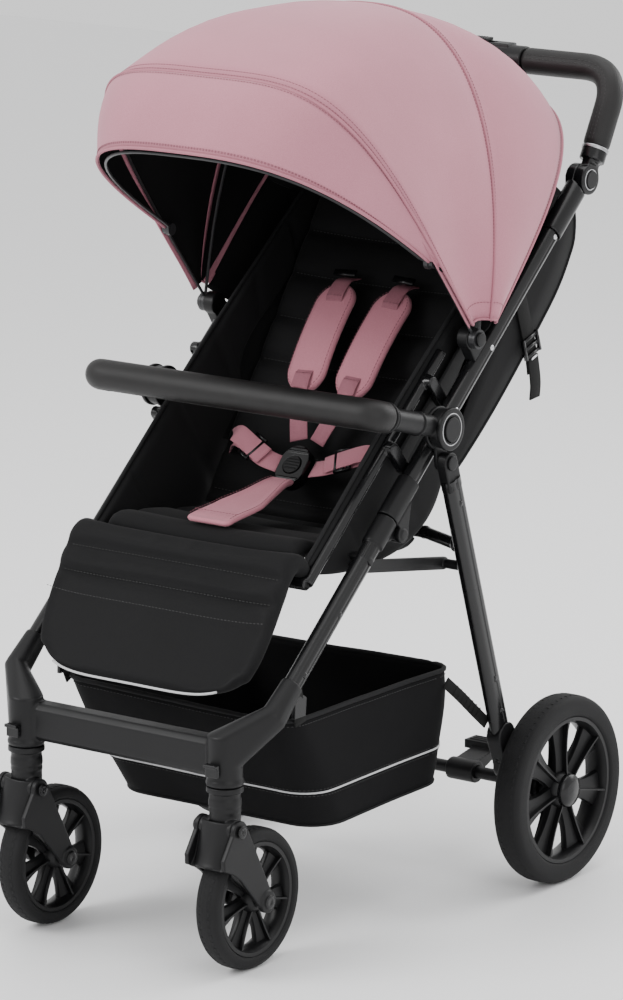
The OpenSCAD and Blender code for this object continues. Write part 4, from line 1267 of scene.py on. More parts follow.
def makeSeatBase():
    half = seatSizes["half"] - 0.001
    line = smoothPath([Vector((0, y, z)) for y, z in ((-0.2065, 0.4660), (-0.2035, 0.4735), (-0.190, 0.4785),
                                                      (-0.130, 0.4700), (-0.070, 0.4600), (-0.0245, 0.4535),
                                                      (0.006, 0.4500), (0.034, 0.4500))], 10)
    line = evenPath(line, 0.004)

    def at(s, t):
        k = min(int(t * (len(line) - 1)), len(line) - 2)
        f = t * (len(line) - 1) - k
        p = line[k].lerp(line[k + 1], f)
        ahead = (line[min(k + 2, len(line) - 1)] - line[max(k - 1, 0)]).normalized()
        dish = -0.004 * math.sin(math.pi * s)
        return p + Vector(((2 * s - 1) * half, 0, dish)), Vector((0, -ahead.z, ahead.y))

    cushion = cushionGrid("seatCushion", at, 0.024, 41, 49, seatBlack, seams=(0.20, 0.5, 0.78), seamDepth=0.004,
                          width=2 * half, length=0.19, cap=0.006)
    place(cushion, "root", "seat_fabric", "seat_base")
    print("seat cushion made")


footSizes = {"half": 0.167, "thick": 0.026, "channels": (0.27, 0.42), "seam": 0.56}


def makeFootrest():
    half = footSizes["half"]
    line = [Vector((0, y, z)) for y, z in ((-0.2135, 0.4545), (-0.222, 0.4680), (-0.238, 0.4715), (-0.254, 0.4560),
                                           (-0.278, 0.4160), (-0.301, 0.3780), (-0.322, 0.3420), (-0.335, 0.3195))]
    line = evenPath(smoothPath(line, 10), 0.003)

    def at(s, t):
        # the lower corners are rounded, and the lower edge dips in the middle
        reach = 1 - 0.155 * abs(2 * s - 1) ** 5 * t ** 2
        q = t * reach * (len(line) - 1)
        k = min(int(q), len(line) - 2)
        p = line[k].lerp(line[k + 1], q - k)
        ahead = (line[min(k + 3, len(line) - 1)] - line[max(k - 3, 0)]).normalized()
        normal = Vector((0, ahead.z, -ahead.y))
        narrow = 1 - 0.085 * t ** 6
        bow = 0.009 * math.sin(math.pi * s) * t
        return p + xAxis * (2 * s - 1) * half * narrow + normal * bow, normal

    pad = cushionGrid("footrestPad", at, footSizes["thick"], 65, 61, seatBlack, round_=0.013,
                      seams=footSizes["channels"], seamDepth=0.0085, width=2 * half, length=0.21, cap=0.006)
    place(pad, "footrest", "seat_fabric", "footrest")
    t = footSizes["seam"]
    row = []
    for s in np.linspace(0.02, 0.98, 50):
        p, n = at(s, t)
        row.append(p + n * (footSizes["thick"] / 2 + 0.0048))
    # pale reflective piping round the lower edge
    rim = []
    for s in np.linspace(0.10, 0.90, 60):
        p, n = at(s, 0.995)
        rim.append(p + n * 0.0070)
    glow = sweptPiece("footrestPiping", rim, roundProfile(0.0015, 8), (0, 0, 1), reflectPale)
    place(glow, "footrest", "seat_fabric")
    lines = [row]
    for q in footSizes["channels"]:
        lines.append([at(s, q)[0] + at(s, q)[1] * (footSizes["thick"] / 2 - 0.0078) for s in np.linspace(0.03, 0.97, 50)])
    thread = stitches("footrestStitches", lines, threadBlack, 0.005, 0.0034, 0.0010)
    place(thread, "footrest", "seat_fabric")
    print("footrest made")


def makeBackShell():
    """The reclining shell behind the backrest: one bag of cloth, its sides drawn to the frame."""
    half = seatSizes["shellHalf"]
    outer = [onBack(0.100, -0.030), onBack(0.099, -0.052), onBack(0.150, -0.074), onBack(0.220, -0.096), onBack(0.300, -0.116),
             onBack(0.380, -0.133), onBack(0.430, -0.134), onBack(0.460, -0.127), onBack(0.488, -0.097),
             onBack(0.478, -0.045), onBack(0.468, -0.030)]
    line = evenPath(smoothPath(outer, 10), 0.008)
    cols = 33
    grid = []
    for p in line:
        row = []
        for k in range(cols):
            u = 2 * k / (cols - 1) - 1
            draw = 1 - 0.10 * abs(u) ** 6        # the cloth pulls in towards the backrest at the sides
            base = (p - crease).dot(backFront) + 0.029
            q = p - backFront * base * (1 - draw)
            row.append(q + xAxis * u * half)
        grid.append(row)
    grid = np.array(grid)
    shell, normal = clothShell("backShellCloth", grid, 0.0022, seatBlack, liningBlack, onBack(0.3, -0.04))
    cheeks = []
    for s in (-1, 1):
        edge = [Vector(row[0 if s < 0 else -1]) for row in grid]
        hub = [onBack((p - crease).dot(backUp), -0.030, s * half) for p in edge]
        strip = [[tuple(a.lerp(b, f)) for f in (0, 0.33, 0.66, 1)] for a, b in zip(edge, hub)]
        cheeks.append(clothShell("cheek", np.array(strip), 0.0022, seatBlack, liningBlack, onBack(0.3, -0.07))[0])
    cloth = join("backShell", [shell] + cheeks)
    place(cloth, "backrest", "seat_fabric", "back_shell")
    rim = sweptPiece("backShellPiping", [Vector(r[-1]) for r in grid], roundProfile(0.002, 8), xAxis, bindingBlack)
    rim2 = sweptPiece("rim", [Vector(r[0]) for r in grid], roundProfile(0.002, 8), xAxis, bindingBlack)
    piping = join("backShellEdges", [rim, rim2])
    place(piping, "backrest", "seat_fabric")


def makeGussets():
    """Cloth that closes the gap between backrest, side tubes and the canopy's rear edge."""
    parts = []
    for side, s in sides:
        rows = []
        for t in np.linspace(0, 1, 40):
            run = 0.085 + 0.380 * t
            inner = onBack(run, -0.016, s * (seatSizes["half"] - 0.002))
            tube = along(0.36 + 0.435 * t, 0.018, s * 0.172)
            row = []
            for u in np.linspace(0, 1, 15):
                sag = -0.008 * math.sin(math.pi * u) * math.sin(math.pi * min(1, t + 0.1))
                row.append(tuple(inner.lerp(tube, u) + backFront * sag))
            rows.append(row)
        gusset, normal = clothShell("gusset_" + side, np.array(rows), 0.0018, seatBlack, liningBlack,
                                    onBack(0.4, 0.2))
        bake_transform(gusset)
        parts.append(gusset)
    # cloth between the canopy's rear edge and the side tubes
    base = along(0, 0)
    arch = [Vector(p) for p in archPath(canopySizes["rear"], canopyHinge, 0.02, 121, 0.004)]
    for side, s in sides:
        edge = [p for p in arch if p.x * s > 0.10]
        if (edge[0] - canopyHinge).length > (edge[-1] - canopyHinge).length:
            edge.reverse()
        start = (canopyHinge - base).dot(tubeAhead)
        rows = []
        for p in edge:
            run = min(max((p - base).dot(tubeAhead), start), 0.79)
            low = along(run, 0.012, s * 0.178)
            rows.append([tuple(p.lerp(low, u) + tubeUp * -0.004 * math.sin(math.pi * u)) for u in np.linspace(0, 1, 9)])
        screen, normal = clothShell("canopySide_" + side, np.array(rows), 0.0018, seatBlack, liningBlack, (0, 0.1, 0.75))
        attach(screen, "root")
    # the curtain from the canopy's rear edge down to the top of the backrest
    arch = archPath(canopySizes["rear"], canopyHinge, 0.19, 61, 0.004)
    rows = []
    for t in np.linspace(0, 1, 13):
        row = []
        for k, p in enumerate(arch):
            u = 2 * k / 60 - 1
            low = onBack(0.474 - 0.03 * abs(u) ** 3, -0.026, -u * 0.150)
            row.append(tuple(Vector(p).lerp(low, t) - Vector((0, 0, 0.010 * math.sin(math.pi * t)))))
        rows.append(row)
    curtain, normal = clothShell("rearCurtain", np.array(rows), 0.0018, seatBlack, liningBlack,
                                 (0, canopyHinge.y, canopyHinge.z + 0.1))
    top, low = Vector((0, 0.31, 0.945)), onBack(0.474, -0.026)
    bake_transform(curtain)
    print("gussets made")


# ---- harness ----

harnessSizes = {"padLow": (0.036, 0.058, 0.620), "padHigh": (0.043, 0.138, 0.712), "padRadius": 0.0290,
                "padThick": 0.009, "webbing": 0.024, "waist": 0.025, "thin": 0.0016}


def makeShoulderPads():
    size = harnessSizes
    r = size["padRadius"]
    pads, webs, threads, clips = [], [], [], []
    for side, s in sides:
        low = Vector((s * size["padLow"][0], *size["padLow"][1:]))
        high = Vector((s * size["padHigh"][0], *size["padHigh"][1:]))
        low, high = low.lerp(high, 0.06), low.lerp(high, 0.86)
        ahead = (high - low).normalized()
        normal = ahead.cross(Vector((s, 0, 0))) * s
        normal = normal if normal.y < 0 else -normal
        across = ahead.cross(normal).normalized()
        start, full = low - ahead * r, (high - low).length + 2 * r

        def at(u, t, inset=0.0):
            d = min(t, 1 - t) * full
            half = r if d > r else math.sqrt(max(0.06 * r * r, r * r - (r - d) ** 2))
            bend = 0.006 * math.sin(math.pi * t)
            return start + ahead * t * full + across * (2 * u - 1) * (half - inset) + normal * (0.006 + bend), normal

        pad = cushionGrid("shoulderPad_" + side, at, size["padThick"], 19, 45, harnessPink, round_=0.006,
                          width=2 * r, length=full, cap=0.002, pressure=3)
        place(pad, "backrest", "harness_fabric")
        pads.append(pad)
        lift = size["padThick"] / 2 + 0.0022
        ring = [at(0, t, 0.0045)[0] + normal * lift for t in np.linspace(0.035, 0.965, 40)]
        ring += [at(1, t, 0.0045)[0] + normal * lift for t in np.linspace(0.965, 0.035, 40)]
        threads.append(ring + ring[:1])
        # the webbing comes out of a slot near each end of the pad and runs over its end
        w = size["webbing"] / 2
        top = [at(0.5, 0.80)[0] + normal * 0.0030, at(0.5, 0.87)[0] + normal * 0.0072, at(0.5, 0.97)[0] + normal * 0.0066,
               high + ahead * 0.034 + normal * 0.0085, high + ahead * 0.046 + normal * -0.006]
        webs.append(strap("webTop", top, 2 * w, size["thin"], normal, webbingPink))
        low2 = [at(0.5, 0.19)[0] + normal * 0.0030, at(0.5, 0.12)[0] + normal * 0.0072, at(0.5, 0.02)[0] + normal * 0.0066,
                low - ahead * 0.030 + normal * 0.0075]
        end = Vector((s * 0.0135, 0.006, 0.556))
        low2 += [low2[-1].lerp(end, 0.55) + normal * 0.002, end]
        webs.append(strap("webLow", low2, 2 * w, size["thin"], normal, webbingPink))
        for t in (0.86, 0.14):
            middle = at(0.5, t)[0] + normal * (lift + 0.0022)
            threads.append([middle - across * w * 0.8, middle + across * w * 0.8])
        clip = at(0.5, 1.02)[0] + normal * 0.0078 + ahead * 0.010
        clips.append(sweptPiece("clip", [clip - across * 0.0155, clip + across * 0.0155], strapProfile(0.009, 0.0034),
                                ahead, mouldGloss))
    web = place(join("shoulderWebbing", webs), "backrest", "harness_fabric", "shoulder_harness")
    thread = place(stitches("padStitches", threads, threadPink, 0.0048, 0.0034, 0.0010), "backrest", "harness_fabric")
    clip = place(join("strapClips", clips), "backrest", "moulded_black")
    print("shoulder pads made")


def makeWaistAndCrotch():
    size = harnessSizes
    webs, parts, threads = [], [], []
    for side, s in sides:
        look = Vector((s * 0.12, -0.62, 0.78)).normalized()
        run = [Vector((s * x, y, z)) for x, y, z in ((0.024, -0.017, 0.5285), (0.045, -0.019, 0.534),
                                                     (0.068, -0.013, 0.542), (0.092, -0.003, 0.549),
                                                     (0.116, 0.016, 0.541), (0.135, 0.030, 0.524))]
        webs.append(strap("waist", run, size["waist"], size["thin"], look, harnessPink))
        # the loose end doubled back over the adjuster
        loop = [run[1] + look * 0.004, run[2] + look * 0.0065, run[3] + look * 0.0075 + Vector((s * 0.004, 0, 0.002)),
                run[3] + look * 0.003 + Vector((s * 0.010, 0, 0))]
        webs.append(strap("loose", loop, size["waist"], size["thin"], look, harnessPink))
        at = run[2] + look * 0.0048
        ahead = (run[3] - run[1]).normalized()
        across = ahead.cross(look).normalized()
        for shift in (-0.009, 0.0, 0.009):
            mid = at + ahead * shift
            parts.append(sweptPiece("bar", [mid - across * 0.0165, mid + across * 0.0165], strapProfile(0.0038, 0.0040),
                                    ahead, mouldGloss))
        for turn in (-1, 1):
            mid = at + across * turn * 0.0160
            parts.append(sweptPiece("rail", [mid - ahead * 0.011, mid + ahead * 0.011], strapProfile(0.0038, 0.0044),
                                    across, mouldGloss))
        box = [run[4 - 1] + look * 0.0016 + across * a * 0.010 + ahead * b * 0.006
               for a, b in ((-1, -1), (1, -1), (1, 1), (-1, 1), (-1, -1))]
        threads.append(box)
    web = join("waistWebbing", webs)
    place(web, "root", "harness_fabric", "crotch_harness")
    place(join("adjusters", parts), "root", "moulded_black")
    # crotch pad: narrow at the buckle, flared and rounded at the front of the seat
    line = smoothPath([Vector((0, y, z)) for y, z in ((-0.042, 0.5165), (-0.062, 0.5160), (-0.098, 0.5075),
                                                      (-0.140, 0.5005), (-0.178, 0.4975), (-0.198, 0.4935))], 10)
    line = evenPath(line, 0.003)

    def at(s, t, inset=0.0):
        q = t * (len(line) - 1)
        k = min(int(q), len(line) - 2)
        p = line[k].lerp(line[k + 1], q - k)
        ahead = (line[min(k + 2, len(line) - 1)] - line[max(k - 2, 0)]).normalized()
        half = 0.0165 + 0.0175 * min(1, t / 0.55) ** 1.3
        end = (1 - t) * 0.16
        if end < 0.010:
            half -= 0.010 - math.sqrt(max(0.0, 0.0001 - (0.010 - end) ** 2))
        return p + xAxis * (2 * s - 1) * (half - inset), Vector((0, ahead.z, -ahead.y))

    pad = cushionGrid("crotchPad", at, 0.0085, 19, 49, harnessPink, round_=0.005, width=0.055, length=0.16, cap=0.0022,
                      pressure=3)
    place(pad, "root", "harness_fabric")
    threads.append([at(s_, 0.865)[0] + at(s_, 0.865)[1] * 0.0058 for s_ in np.linspace(0.06, 0.94, 20)])
    threads.append([at(0.0, t, 0.004)[0] + at(0.0, t)[1] * 0.0052 for t in np.linspace(0.06, 0.93, 40)])
    threads.append([at(1.0, t, 0.004)[0] + at(1.0, t)[1] * 0.0052 for t in np.linspace(0.06, 0.93, 40)])
    place(stitches("harnessStitches", threads, threadPink, 0.0046, 0.0032, 0.0010), "root", "harness_fabric")
    print("waist and crotch straps made")


def makeBuckle():
    low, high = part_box("buckle")
    middle = (low + high) / 2
    tilt = math.radians(48)
    up = Vector((0, math.cos(tilt), math.sin(tilt)))
    out = Vector((0, -math.sin(tilt), math.cos(tilt)))
    bars = []
    for k, shift in enumerate((-0.0225, -0.0185, 0.0185, 0.0225)):
        half = 0.0125 if k in (0, 3) else 0.0155
        mid = middle + up * shift + out * 0.0078
        bars.append(sweptPiece("ridge", [mid - xAxis * half, mid + xAxis * half], strapProfile(0.0018, 0.0024), up,
                               mouldGloss))
    mouldedCopy("buckleBody", ["buckle"], "root", "moulded_black", mouldGloss, voxel=0.0007, rounds=4, extras=bars,
                decimate=0.5)
    bars = []
    for shift in (-0.006, -0.002, 0.002, 0.006):
        half = math.sqrt(0.0098 ** 2 - shift ** 2)
        mid = middle + up * shift + out * 0.0096
        bars.append(sweptPiece("ridge", [mid - xAxis * half, mid + xAxis * half], strapProfile(0.0014, 0.0016), up,
                               mouldBlack))
    mouldedCopy("buckleRelease", ["buckle_button"], "buckle_button", "moulded_black", mouldBlack, voxel=0.0005,
                rounds=3, extras=bars, decimate=0.5)
    print("buckle made")


# ---- bumper bar and handle ----

bumperSizes = {"lean": 164.3, "x": 0.206, "reach": 0.140, "corner": 0.032, "radius": 0.0188, "foamFrom": 0.112}
handleSizes = {"lean": 61.1, "x": 0.199, "reach": 0.145, "corner": 0.084, "radius": 0.0168, "gripFrom": 0.0415,
               "module": 0.0622}


def inPlane(at, lean, x, reach):
    a = math.radians(lean)
    return Vector((x, at.y + reach * math.cos(a), at.z + reach * math.sin(a)))


def gripTube(name, path, radius, material):
    """Foam cover with its ends drawn in, over a path that may bend."""
    path = evenPath(path, 0.004)
    verts, count = [], 28
    side = Vector((1, 0, 0))
    n = len(path)
    for i, p in enumerate(path):
        ahead = (path[min(i + 1, n - 1)] - path[max(i - 1, 0)]).normalized()
        lean = planeNormal.get(name.split("_")[0])
        up = lean - ahead * lean.dot(ahead)
        up.normalize()
        across = ahead.cross(up)
        end = min(i, n - 1 - i) * 0.004
        r = radius * (1 - 0.16 * max(0.0, 1 - end / 0.006) ** 2)
        for k in range(count):
            a = 2 * math.pi * k / count
            seam = 1 - 0.030 * math.exp(-((a - 1.5 * math.pi) / 0.10) ** 2)
            verts.append(p + (across * math.cos(a) + up * math.sin(a)) * r * seam)
    faces = gridFaces(n, count, closed=True) + [tuple(range(count))[::-1], tuple(range((n - 1) * count, n * count))]
    obj = facesOut(makePiece(name, verts, faces, material))
    shadeByAngle(obj, 50)
    return obj, path


planeNormal = {}


def makeBumperBar():
    size = bumperSizes
    hub = pivot["bumper_tilt"]
    a = math.radians(size["lean"])
    ahead = Vector((0, math.cos(a), math.sin(a)))
    planeNormal["bumperFoam"] = Vector((0, -ahead.z, ahead.y))
    if planeNormal["bumperFoam"].z < 0:
        planeNormal["bumperFoam"] = -planeNormal["bumperFoam"]
    corners = [inPlane(hub, size["lean"], x, r) for x, r in
               ((-size["x"], size["foamFrom"]), (-size["x"], size["reach"]), (size["x"], size["reach"]),
                (size["x"], size["foamFrom"]))]
    foam, path = gripTube("bumperFoam", roundedPath(corners, size["corner"], 10), size["radius"], leatherGrip)
    place(foam, "bumper_bar", "grip", "bumper_bar")
    mouldedCopy("bumperArms", ["bumper_bar"], "bumper_bar", "moulded_black", mouldBlack, voxel=0.0012, rounds=4,
                cut=[(hub + ahead * 0.1135, ahead)])
    rings = []
    for s in (-1, 1):
        for reach, radius, deep in ((0.1085, 0.0172, 0.004), (0.100, 0.0148, 0.003), (0.045, 0.0150, 0.003)):
            start = inPlane(hub, size["lean"], s * size["x"], reach)
            rings.append(sweptPiece("ring", [start, start + ahead * deep * 0.25, start + ahead * deep * 0.75,
                                             start + ahead * deep],
                                    roundProfile(radius, 40), xAxis, mouldBlack))
    place(join("bumperRings", rings), "bumper_bar", "moulded_black")
    under = -planeNormal["bumperFoam"]
    line = [p + under * (size["radius"] * 0.985) for p in path[2:-2]]
    seams = []
    for shift in (-0.0024, 0.0024):
        seams.append([p + ahead * shift for p in line])
    place(stitches("bumperStitches", seams, threadBlack, 0.0055, 0.0038, 0.0010), "bumper_bar", "grip")
    for side, s in sides:
        mouldedCopy("bumperPush_" + side, ["bumper_button_" + side], "bumper_button_" + side, "moulded_black",
                    mouldBlack, voxel=0.0006, rounds=3, decimate=0.4)
        x = s * 0.2262
        ring = lathe("hubRing_" + side, hub, [(x - s * 0.0008, 0.0185), (x, 0.0185), (x + s * 0.0003, 0.0191),
                                              (x, 0.0197), (x - s * 0.0008, 0.0197)], ringSilver, 96)
        place(ring, "root", "moulded_black")
    print("bumper bar made")


def makeHandle():
    size = handleSizes
    hinge = pivot["handle_tilt"]
    a = math.radians(size["lean"])
    ahead = Vector((0, math.cos(a), math.sin(a)))
    normal = Vector((0, -ahead.z, ahead.y))
    planeNormal["handleGrip"] = -normal
    threads = []
    for side, s in sides:
        corners = [inPlane(hinge, size["lean"], x, r) for x, r in
                   ((s * size["x"], size["gripFrom"]), (s * size["x"], size["reach"]), (s * size["module"], size["reach"]))]
        grip, path = gripTube("handleGrip_" + side, roundedPath(corners, size["corner"], 14), size["radius"],
                              leatherGrip)
        place(grip, "handle", "grip", "handle_grip")
        for shift in (-0.0024, 0.0024):
            line = []
            for k, p in enumerate(path[2:-2]):
                t = (path[k + 3] - path[k + 1]).normalized()
                inner = t.cross(normal)
                line.append(p + normal * size["radius"] * 0.98 + inner * shift)
            threads.append(line)
        start = inPlane(hinge, size["lean"], s * size["x"], 0.0375)
        band = sweptPiece("silverBand_" + side, [start, start + ahead * 0.0008, start + ahead * 0.0030,
                                                 start + ahead * 0.0038], roundProfile(0.0169, 48), xAxis, ringSilver)
        place(band, "handle", "moulded_black")
        x = s * 0.2066
        ring = lathe("tiltRing_" + side, hinge, [(x - s * 0.0012, 0.0116), (x, 0.0116), (x + s * 0.0004, 0.0124),
                                                 (x, 0.0132), (x - s * 0.0012, 0.0132)], ringSilver, 64)
        place(ring, "handle", "moulded_black")
        mouldedCopy("tiltPush_" + side, ["tilt_button_" + side], "tilt_button_" + side, "moulded_black", mouldGloss,
                    voxel=0.0005, rounds=3, decimate=0.4)
    place(stitches("gripStitches", threads, threadBlack, 0.0052, 0.0036, 0.0010), "handle", "grip")
    mouldedCopy("handleTube", ["handle_tube"], "handle", "frame_black", mouldGloss, voxel=0.0012, rounds=4,
                cut=[(hinge + ahead * 0.052, ahead)])
    mouldedCopy("handleModule", ["handle_module"], "handle", "moulded_black", mouldBlack, voxel=0.0010, rounds=5)
    mouldedCopy("foldTrigger", ["fold_trigger"], "fold_trigger", "moulded_black", mouldGloss, voxel=0.0008, rounds=4)
    low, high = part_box("fold_slider")
    ribs = []
    for k in range(4):
        x = low.x + 0.006 + 0.0042 * k
        ribs.append(sweptPiece("rib", [(x, low.y + 0.003, high.z + 0.0001), (x, high.y - 0.003, high.z + 0.0001)],
                               strapProfile(0.0014, 0.0016), xAxis, mouldBlack))
    mouldedCopy("foldSlider", ["fold_slider"], "fold_slider", "moulded_black", mouldBlack, voxel=0.0005, rounds=3,
                extras=ribs, decimate=0.4)
    print("handle made")


# ---- basket ----

basketSizes = {"half": 0.171, "top": ((-0.266, 0.2925), (0.079, 0.2845)), "bottom": ((-0.181, 0.1360), (0.081, 0.1425)),
               "cornerTop": 0.030, "cornerBottom": 0.045, "cloth": 0.0018, "levels": 17, "floorRings": 9,
               "piping": 0.66, "bulge": 0.005, "sag": 0.006}


def basketLoop(t, inset=0.0, count=120):
    """A level of the basket, from its rim at t 0 to its floor at t 1, as points in order."""
    size = basketSizes
    (y0, z0), (y1, z1) = [tuple(a + (b - a) * t for a, b in zip(p, q)) for p, q in zip(size["top"], size["bottom"])]
    half = size["half"] - 0.012 * t - inset
    corner = size["cornerTop"] + (size["cornerBottom"] - size["cornerTop"]) * t
    y0, y1 = y0 + inset, y1 - inset
    corner = max(0.004, min(corner, half * 0.98, (y1 - y0) / 2 * 0.98))
    out = []
    for cx, cy, start in ((half - corner, y1 - corner, 0), (corner - half, y1 - corner, 90),
                          (corner - half, y0 + corner, 180), (half - corner, y0 + corner, 270)):
        for k in range(13):
            a = math.radians(start + 90 * k / 12)
            out.append(Vector((cx + corner * math.cos(a), cy + corner * math.sin(a), 0)))
    loop = evenPath(out + out[:1], 1e-3)
    total = len(loop)
    loop = [loop[int(k * (total - 1) / count)] for k in range(count)]
    for p in loop:
        share = (p.y - y0) / max(y1 - y0, 1e-6)
        p.z = z0 + (z1 - z0) * share
    return loop


def makeBasket():
    size = basketSizes
    levels, rings, count = size["levels"], size["floorRings"], 120
    grid = []
    middle = Vector((0, (size["bottom"][0][0] + size["bottom"][1][0]) / 2, 0))
    for i in range(levels):
        t = i / (levels - 1)
        row = []
        for k, p in enumerate(basketLoop(t)):
            outward = Vector((p.x, (p.y - middle.y) * 0.6, 0)).normalized()
            ripple = 0.0022 * noise.noise(Vector((p.x * 11, p.y * 11, t * 2.2)))
            droop = -size["sag"] * (1 - t) ** 2 * (0.5 - 0.5 * math.cos(4 * math.pi * k / count)) * 0.8
            row.append(p + outward * (size["bulge"] * math.sin(math.pi * t) - 0.002 + ripple) + Vector((0, 0, droop)))
        grid.append(row)
    base = grid[-1]
    for i in range(1, rings + 1):
        share = 1 - i / (rings + 0.4)
        row = []
        for p in base:
            q = middle + (Vector((p.x, p.y, 0)) - middle) * share
            q.z = p.z + (sum(b.z for b in base) / len(base) - p.z) * (1 - share) - 0.0025 * (1 - share ** 2)
            q.z += 0.0012 * noise.noise(Vector((q.x * 18, q.y * 18, 5)))
            row.append(q)
        grid.append(row)
    n = len(grid)
    inner = []
    for i, row in enumerate(grid):
        level = []
        for k, p in enumerate(row):
            around = row[(k + 1) % count] - row[k - 1]
            down = grid[min(i + 1, n - 1)][k] - grid[max(i - 1, 0)][k]
            normal = around.cross(down).normalized()
            toMiddle = Vector((0, middle.y, 0.24)) - p
            level.append(p + normal * size["cloth"] * (1 if normal.dot(toMiddle) > 0 else -1))
        inner.append(level)
    verts = [p for row in grid for p in row] + [p for row in inner for p in row]
    total = n * count
    faces = gridFaces(n, count, closed=True) + gridFaces(n, count, total, closed=True, flip=True)
    faces += [(k, (k + 1) % count, total + (k + 1) % count, total + k) for k in range(count)]
    faces += [tuple(range((n - 1) * count, n * count)), tuple(range(total + (n - 1) * count, total + n * count))[::-1]]
    cloth = facesOut(makePiece("basketCloth", verts, faces, basketBlack))
    rim = sweptPiece("rim", grid[0], roundProfile(0.0028, 10), xAxis, bindingBlack, closedPath=True)
    rim = facesOut(rim)
    floorSeam = sweptPiece("floorSeam", grid[levels - 1], roundProfile(0.0017, 8), (0, 0, 1), bindingBlack,
                           closedPath=True)
    level = int(round(size["piping"] * (levels - 1)))
    glow = sweptPiece("basketPiping", [p + (p - middle).normalized() * 0.0006 for p in grid[level]],
                      roundProfile(0.0013, 8), (0, 0, 1), reflectPale, closedPath=True)
    trim = join("basketBinding", [rim, floorSeam])
    lines = []
    for i, share in ((0, 0.85), (level, 0.45), (level - 1, 0.55)):
        lines.append([a.lerp(b, share) + Vector((a.x, a.y - middle.y, 0)).normalized() * 0.0005
                      for a, b in zip(grid[i], grid[i + 1])])
    thread = stitches("basketStitches", lines, threadBlack, 0.0052, 0.0036, 0.0010)
    straps = []
    for side, s in sides:
        a, b = Vector((s * 0.1725, 0.055, 0.270)), Vector((s * 0.2035, 0.099, 0.214))
        out = Vector((s * 0.8, -0.3, 0.5)).normalized()
        run = [a, a.lerp(b, 0.35) + out * 0.001, a.lerp(b, 0.7), b]
        straps.append(strap("strap", run, 0.016, 0.0022, out, webbingBlack))
        for k in range(7):
            mid = a.lerp(b, 0.22 + 0.09 * k) + out * 0.0016
            across = (b - a).cross(out).normalized()
            straps.append(sweptPiece("ridge", [mid - across * 0.008, mid + across * 0.008], roundProfile(0.0010, 6),
                                     out, webbingBlack))
        c, d = Vector((s * 0.1735, -0.243, 0.284)), Vector((s * 0.1800, -0.262, 0.340))
        straps.append(strap("frontStrap", [c, c.lerp(d, 0.5), d], 0.018, 0.0022, (s, -0.2, 0.1), webbingBlack))
    straps = join("basketStraps", straps)
    hooks = []
    for side, s in sides:
        at = Vector((s * 0.1765, -0.251, 0.306))
        hooks.append(outlinePlate("hook", [(at.y - 0.011, at.z - 0.012), (at.y + 0.011, at.z - 0.012),
                                           (at.y + 0.013, at.z + 0.010), (at.y + 0.004, at.z + 0.016),
                                           (at.y - 0.010, at.z + 0.012)], at.x - 0.0022, at.x + 0.0028, mouldGloss))
    hooks = join("basketHooks", hooks)
    for piece, slotName in ((cloth, "basket_fabric"), (trim, "basket_fabric"), (glow, "basket_fabric"),
                            (thread, "basket_fabric"), (straps, "webbing_black"), (hooks, "moulded_black")):
        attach(piece, "rear_frame")
        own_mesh(piece)
    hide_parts("basket")
    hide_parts("basket_straps")


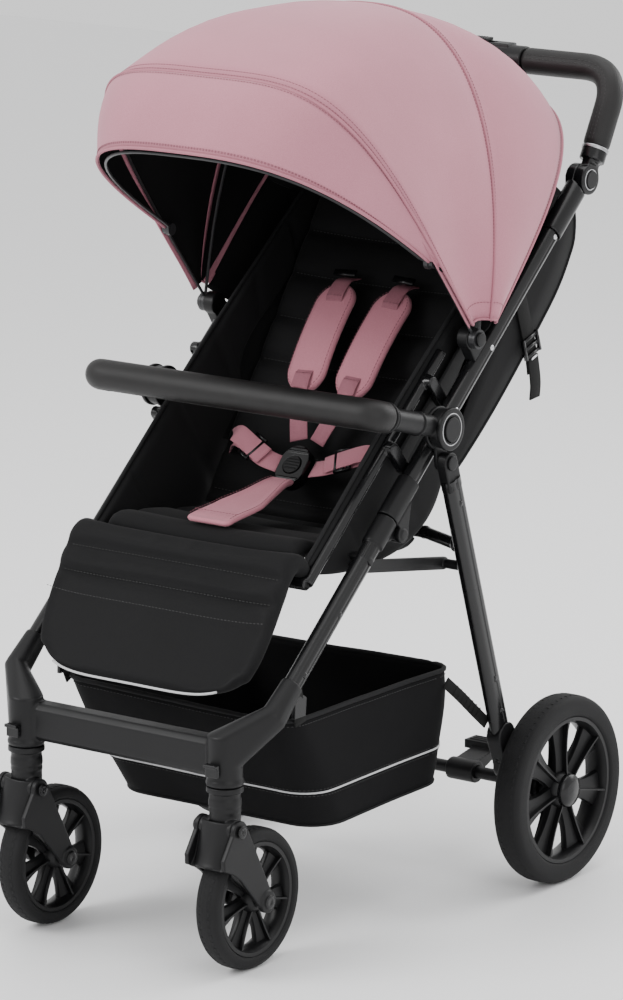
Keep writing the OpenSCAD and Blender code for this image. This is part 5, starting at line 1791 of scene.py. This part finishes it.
def makeReclineStrap():
    webs, parts = [], []
    run = [onBack(0.246, -0.096), onBack(0.290, -0.112), onBack(0.340, -0.128), onBack(0.384, -0.140)]
    webs.append(strap("recline", run, 0.025, 0.0022, -backFront, webbingBlack))
    tail = [onBack(0.330, -0.127), onBack(0.300, -0.122), onBack(0.262, -0.118), onBack(0.222, -0.106)]
    webs.append(strap("tail", tail, 0.024, 0.0018, -backFront, webbingBlack))
    place(join("reclineWebbing", webs), "backrest", "webbing_black", "recline_strap")
    base = onBack(0.310, -0.1245)
    along_ = (run[2] - run[1]).normalized()
    for shift in (-0.018, -0.006, 0.006, 0.018):
        mid = base + along_ * shift
        parts.append(sweptPiece("bar", [mid - xAxis * 0.017, mid + xAxis * 0.017], strapProfile(0.0045, 0.0050), along_,
                                mouldGloss))
    for s in (-1, 1):
        mid = base + xAxis * s * 0.0165
        parts.append(sweptPiece("rail", [mid - along_ * 0.021, mid + along_ * 0.021], strapProfile(0.0045, 0.0056), xAxis,
                                mouldGloss))
    mid = base + along_ * 0.012
    parts.append(sweptPiece("pin", [mid - xAxis * 0.013 + backFront * -0.0034, mid + xAxis * 0.013 + backFront * -0.0034],
                            roundProfile(0.0014, 10), along_, zincBright))
    # a short strap and its buckle on each side of the back shell
    sideWebs = []
    for side, s in sides:
        out = xAxis * s
        line = [onBack(0.352, -0.034, s * 0.1650), onBack(0.325, -0.070, s * 0.1662), onBack(0.300, -0.104, s * 0.1662),
                onBack(0.278, -0.132, s * 0.1640)]
        sideWebs.append(strap("sideStrap", line, 0.024, 0.0020, out, webbingBlack))
        tab = [onBack(0.290, -0.116, s * 0.1680), onBack(0.268, -0.142, s * 0.1665), onBack(0.252, -0.156, s * 0.1640)]
        sideWebs.append(strap("tab", tab, 0.022, 0.0024, out, webbingBlack))
        ahead = (line[2] - line[1]).normalized()
        across = ahead.cross(out).normalized()
        for shift in (-0.011, 0.0, 0.011):
            mid = line[2] + ahead * shift + out * 0.0022
            parts.append(sweptPiece("bar", [mid - across * 0.0155, mid + across * 0.0155], strapProfile(0.0045, 0.0044),
                                    ahead, mouldGloss))
        for turn in (-1, 1):
            mid = line[2] + across * turn * 0.0150 + out * 0.0022
            parts.append(sweptPiece("rail", [mid - ahead * 0.0135, mid + ahead * 0.0135], strapProfile(0.0040, 0.0052),
                                    across, mouldGloss))
        mid = line[2] + ahead * 0.0165 + out * 0.0030
        parts.append(sweptPiece("pin", [mid - across * 0.0060, mid + across * 0.0060], roundProfile(0.0016, 10), ahead,
                                zincBright))
    place(join("sideStraps", sideWebs), "backrest", "webbing_black")
    place(join("reclineBuckle", parts), "backrest", "moulded_black")
    print("recline strap made")


def makeSeatFrame():
    mouldedCopy("seatTubes", ["seat_frame"], "root", "frame_black", paintBlack, voxel=0.0014, rounds=3)


def makeCrossBar():
    mouldedCopy("crossBar", ["rear_cross_bar"], "rear_frame", "frame_black", paintBlack, voxel=0.0014, rounds=3)


# ---- the whole stroller ----

for make in (makeFrameTubes, makeFrameMouldings, makeRivets, makeSeatFrame, makeCrossBar, makeWheels, makeCasters,
             makeBridge, makeRearAxle, makeBows, makeCanopy, makeVisor, makeBackrest, makeWings, makeSeatBase,
             makeFootrest, makeBackShell, makeGussets, makeShoulderPads, makeWaistAndCrotch, makeBuckle, makeBumperBar,
             makeHandle, makeBasket, makeReclineStrap):
    make()
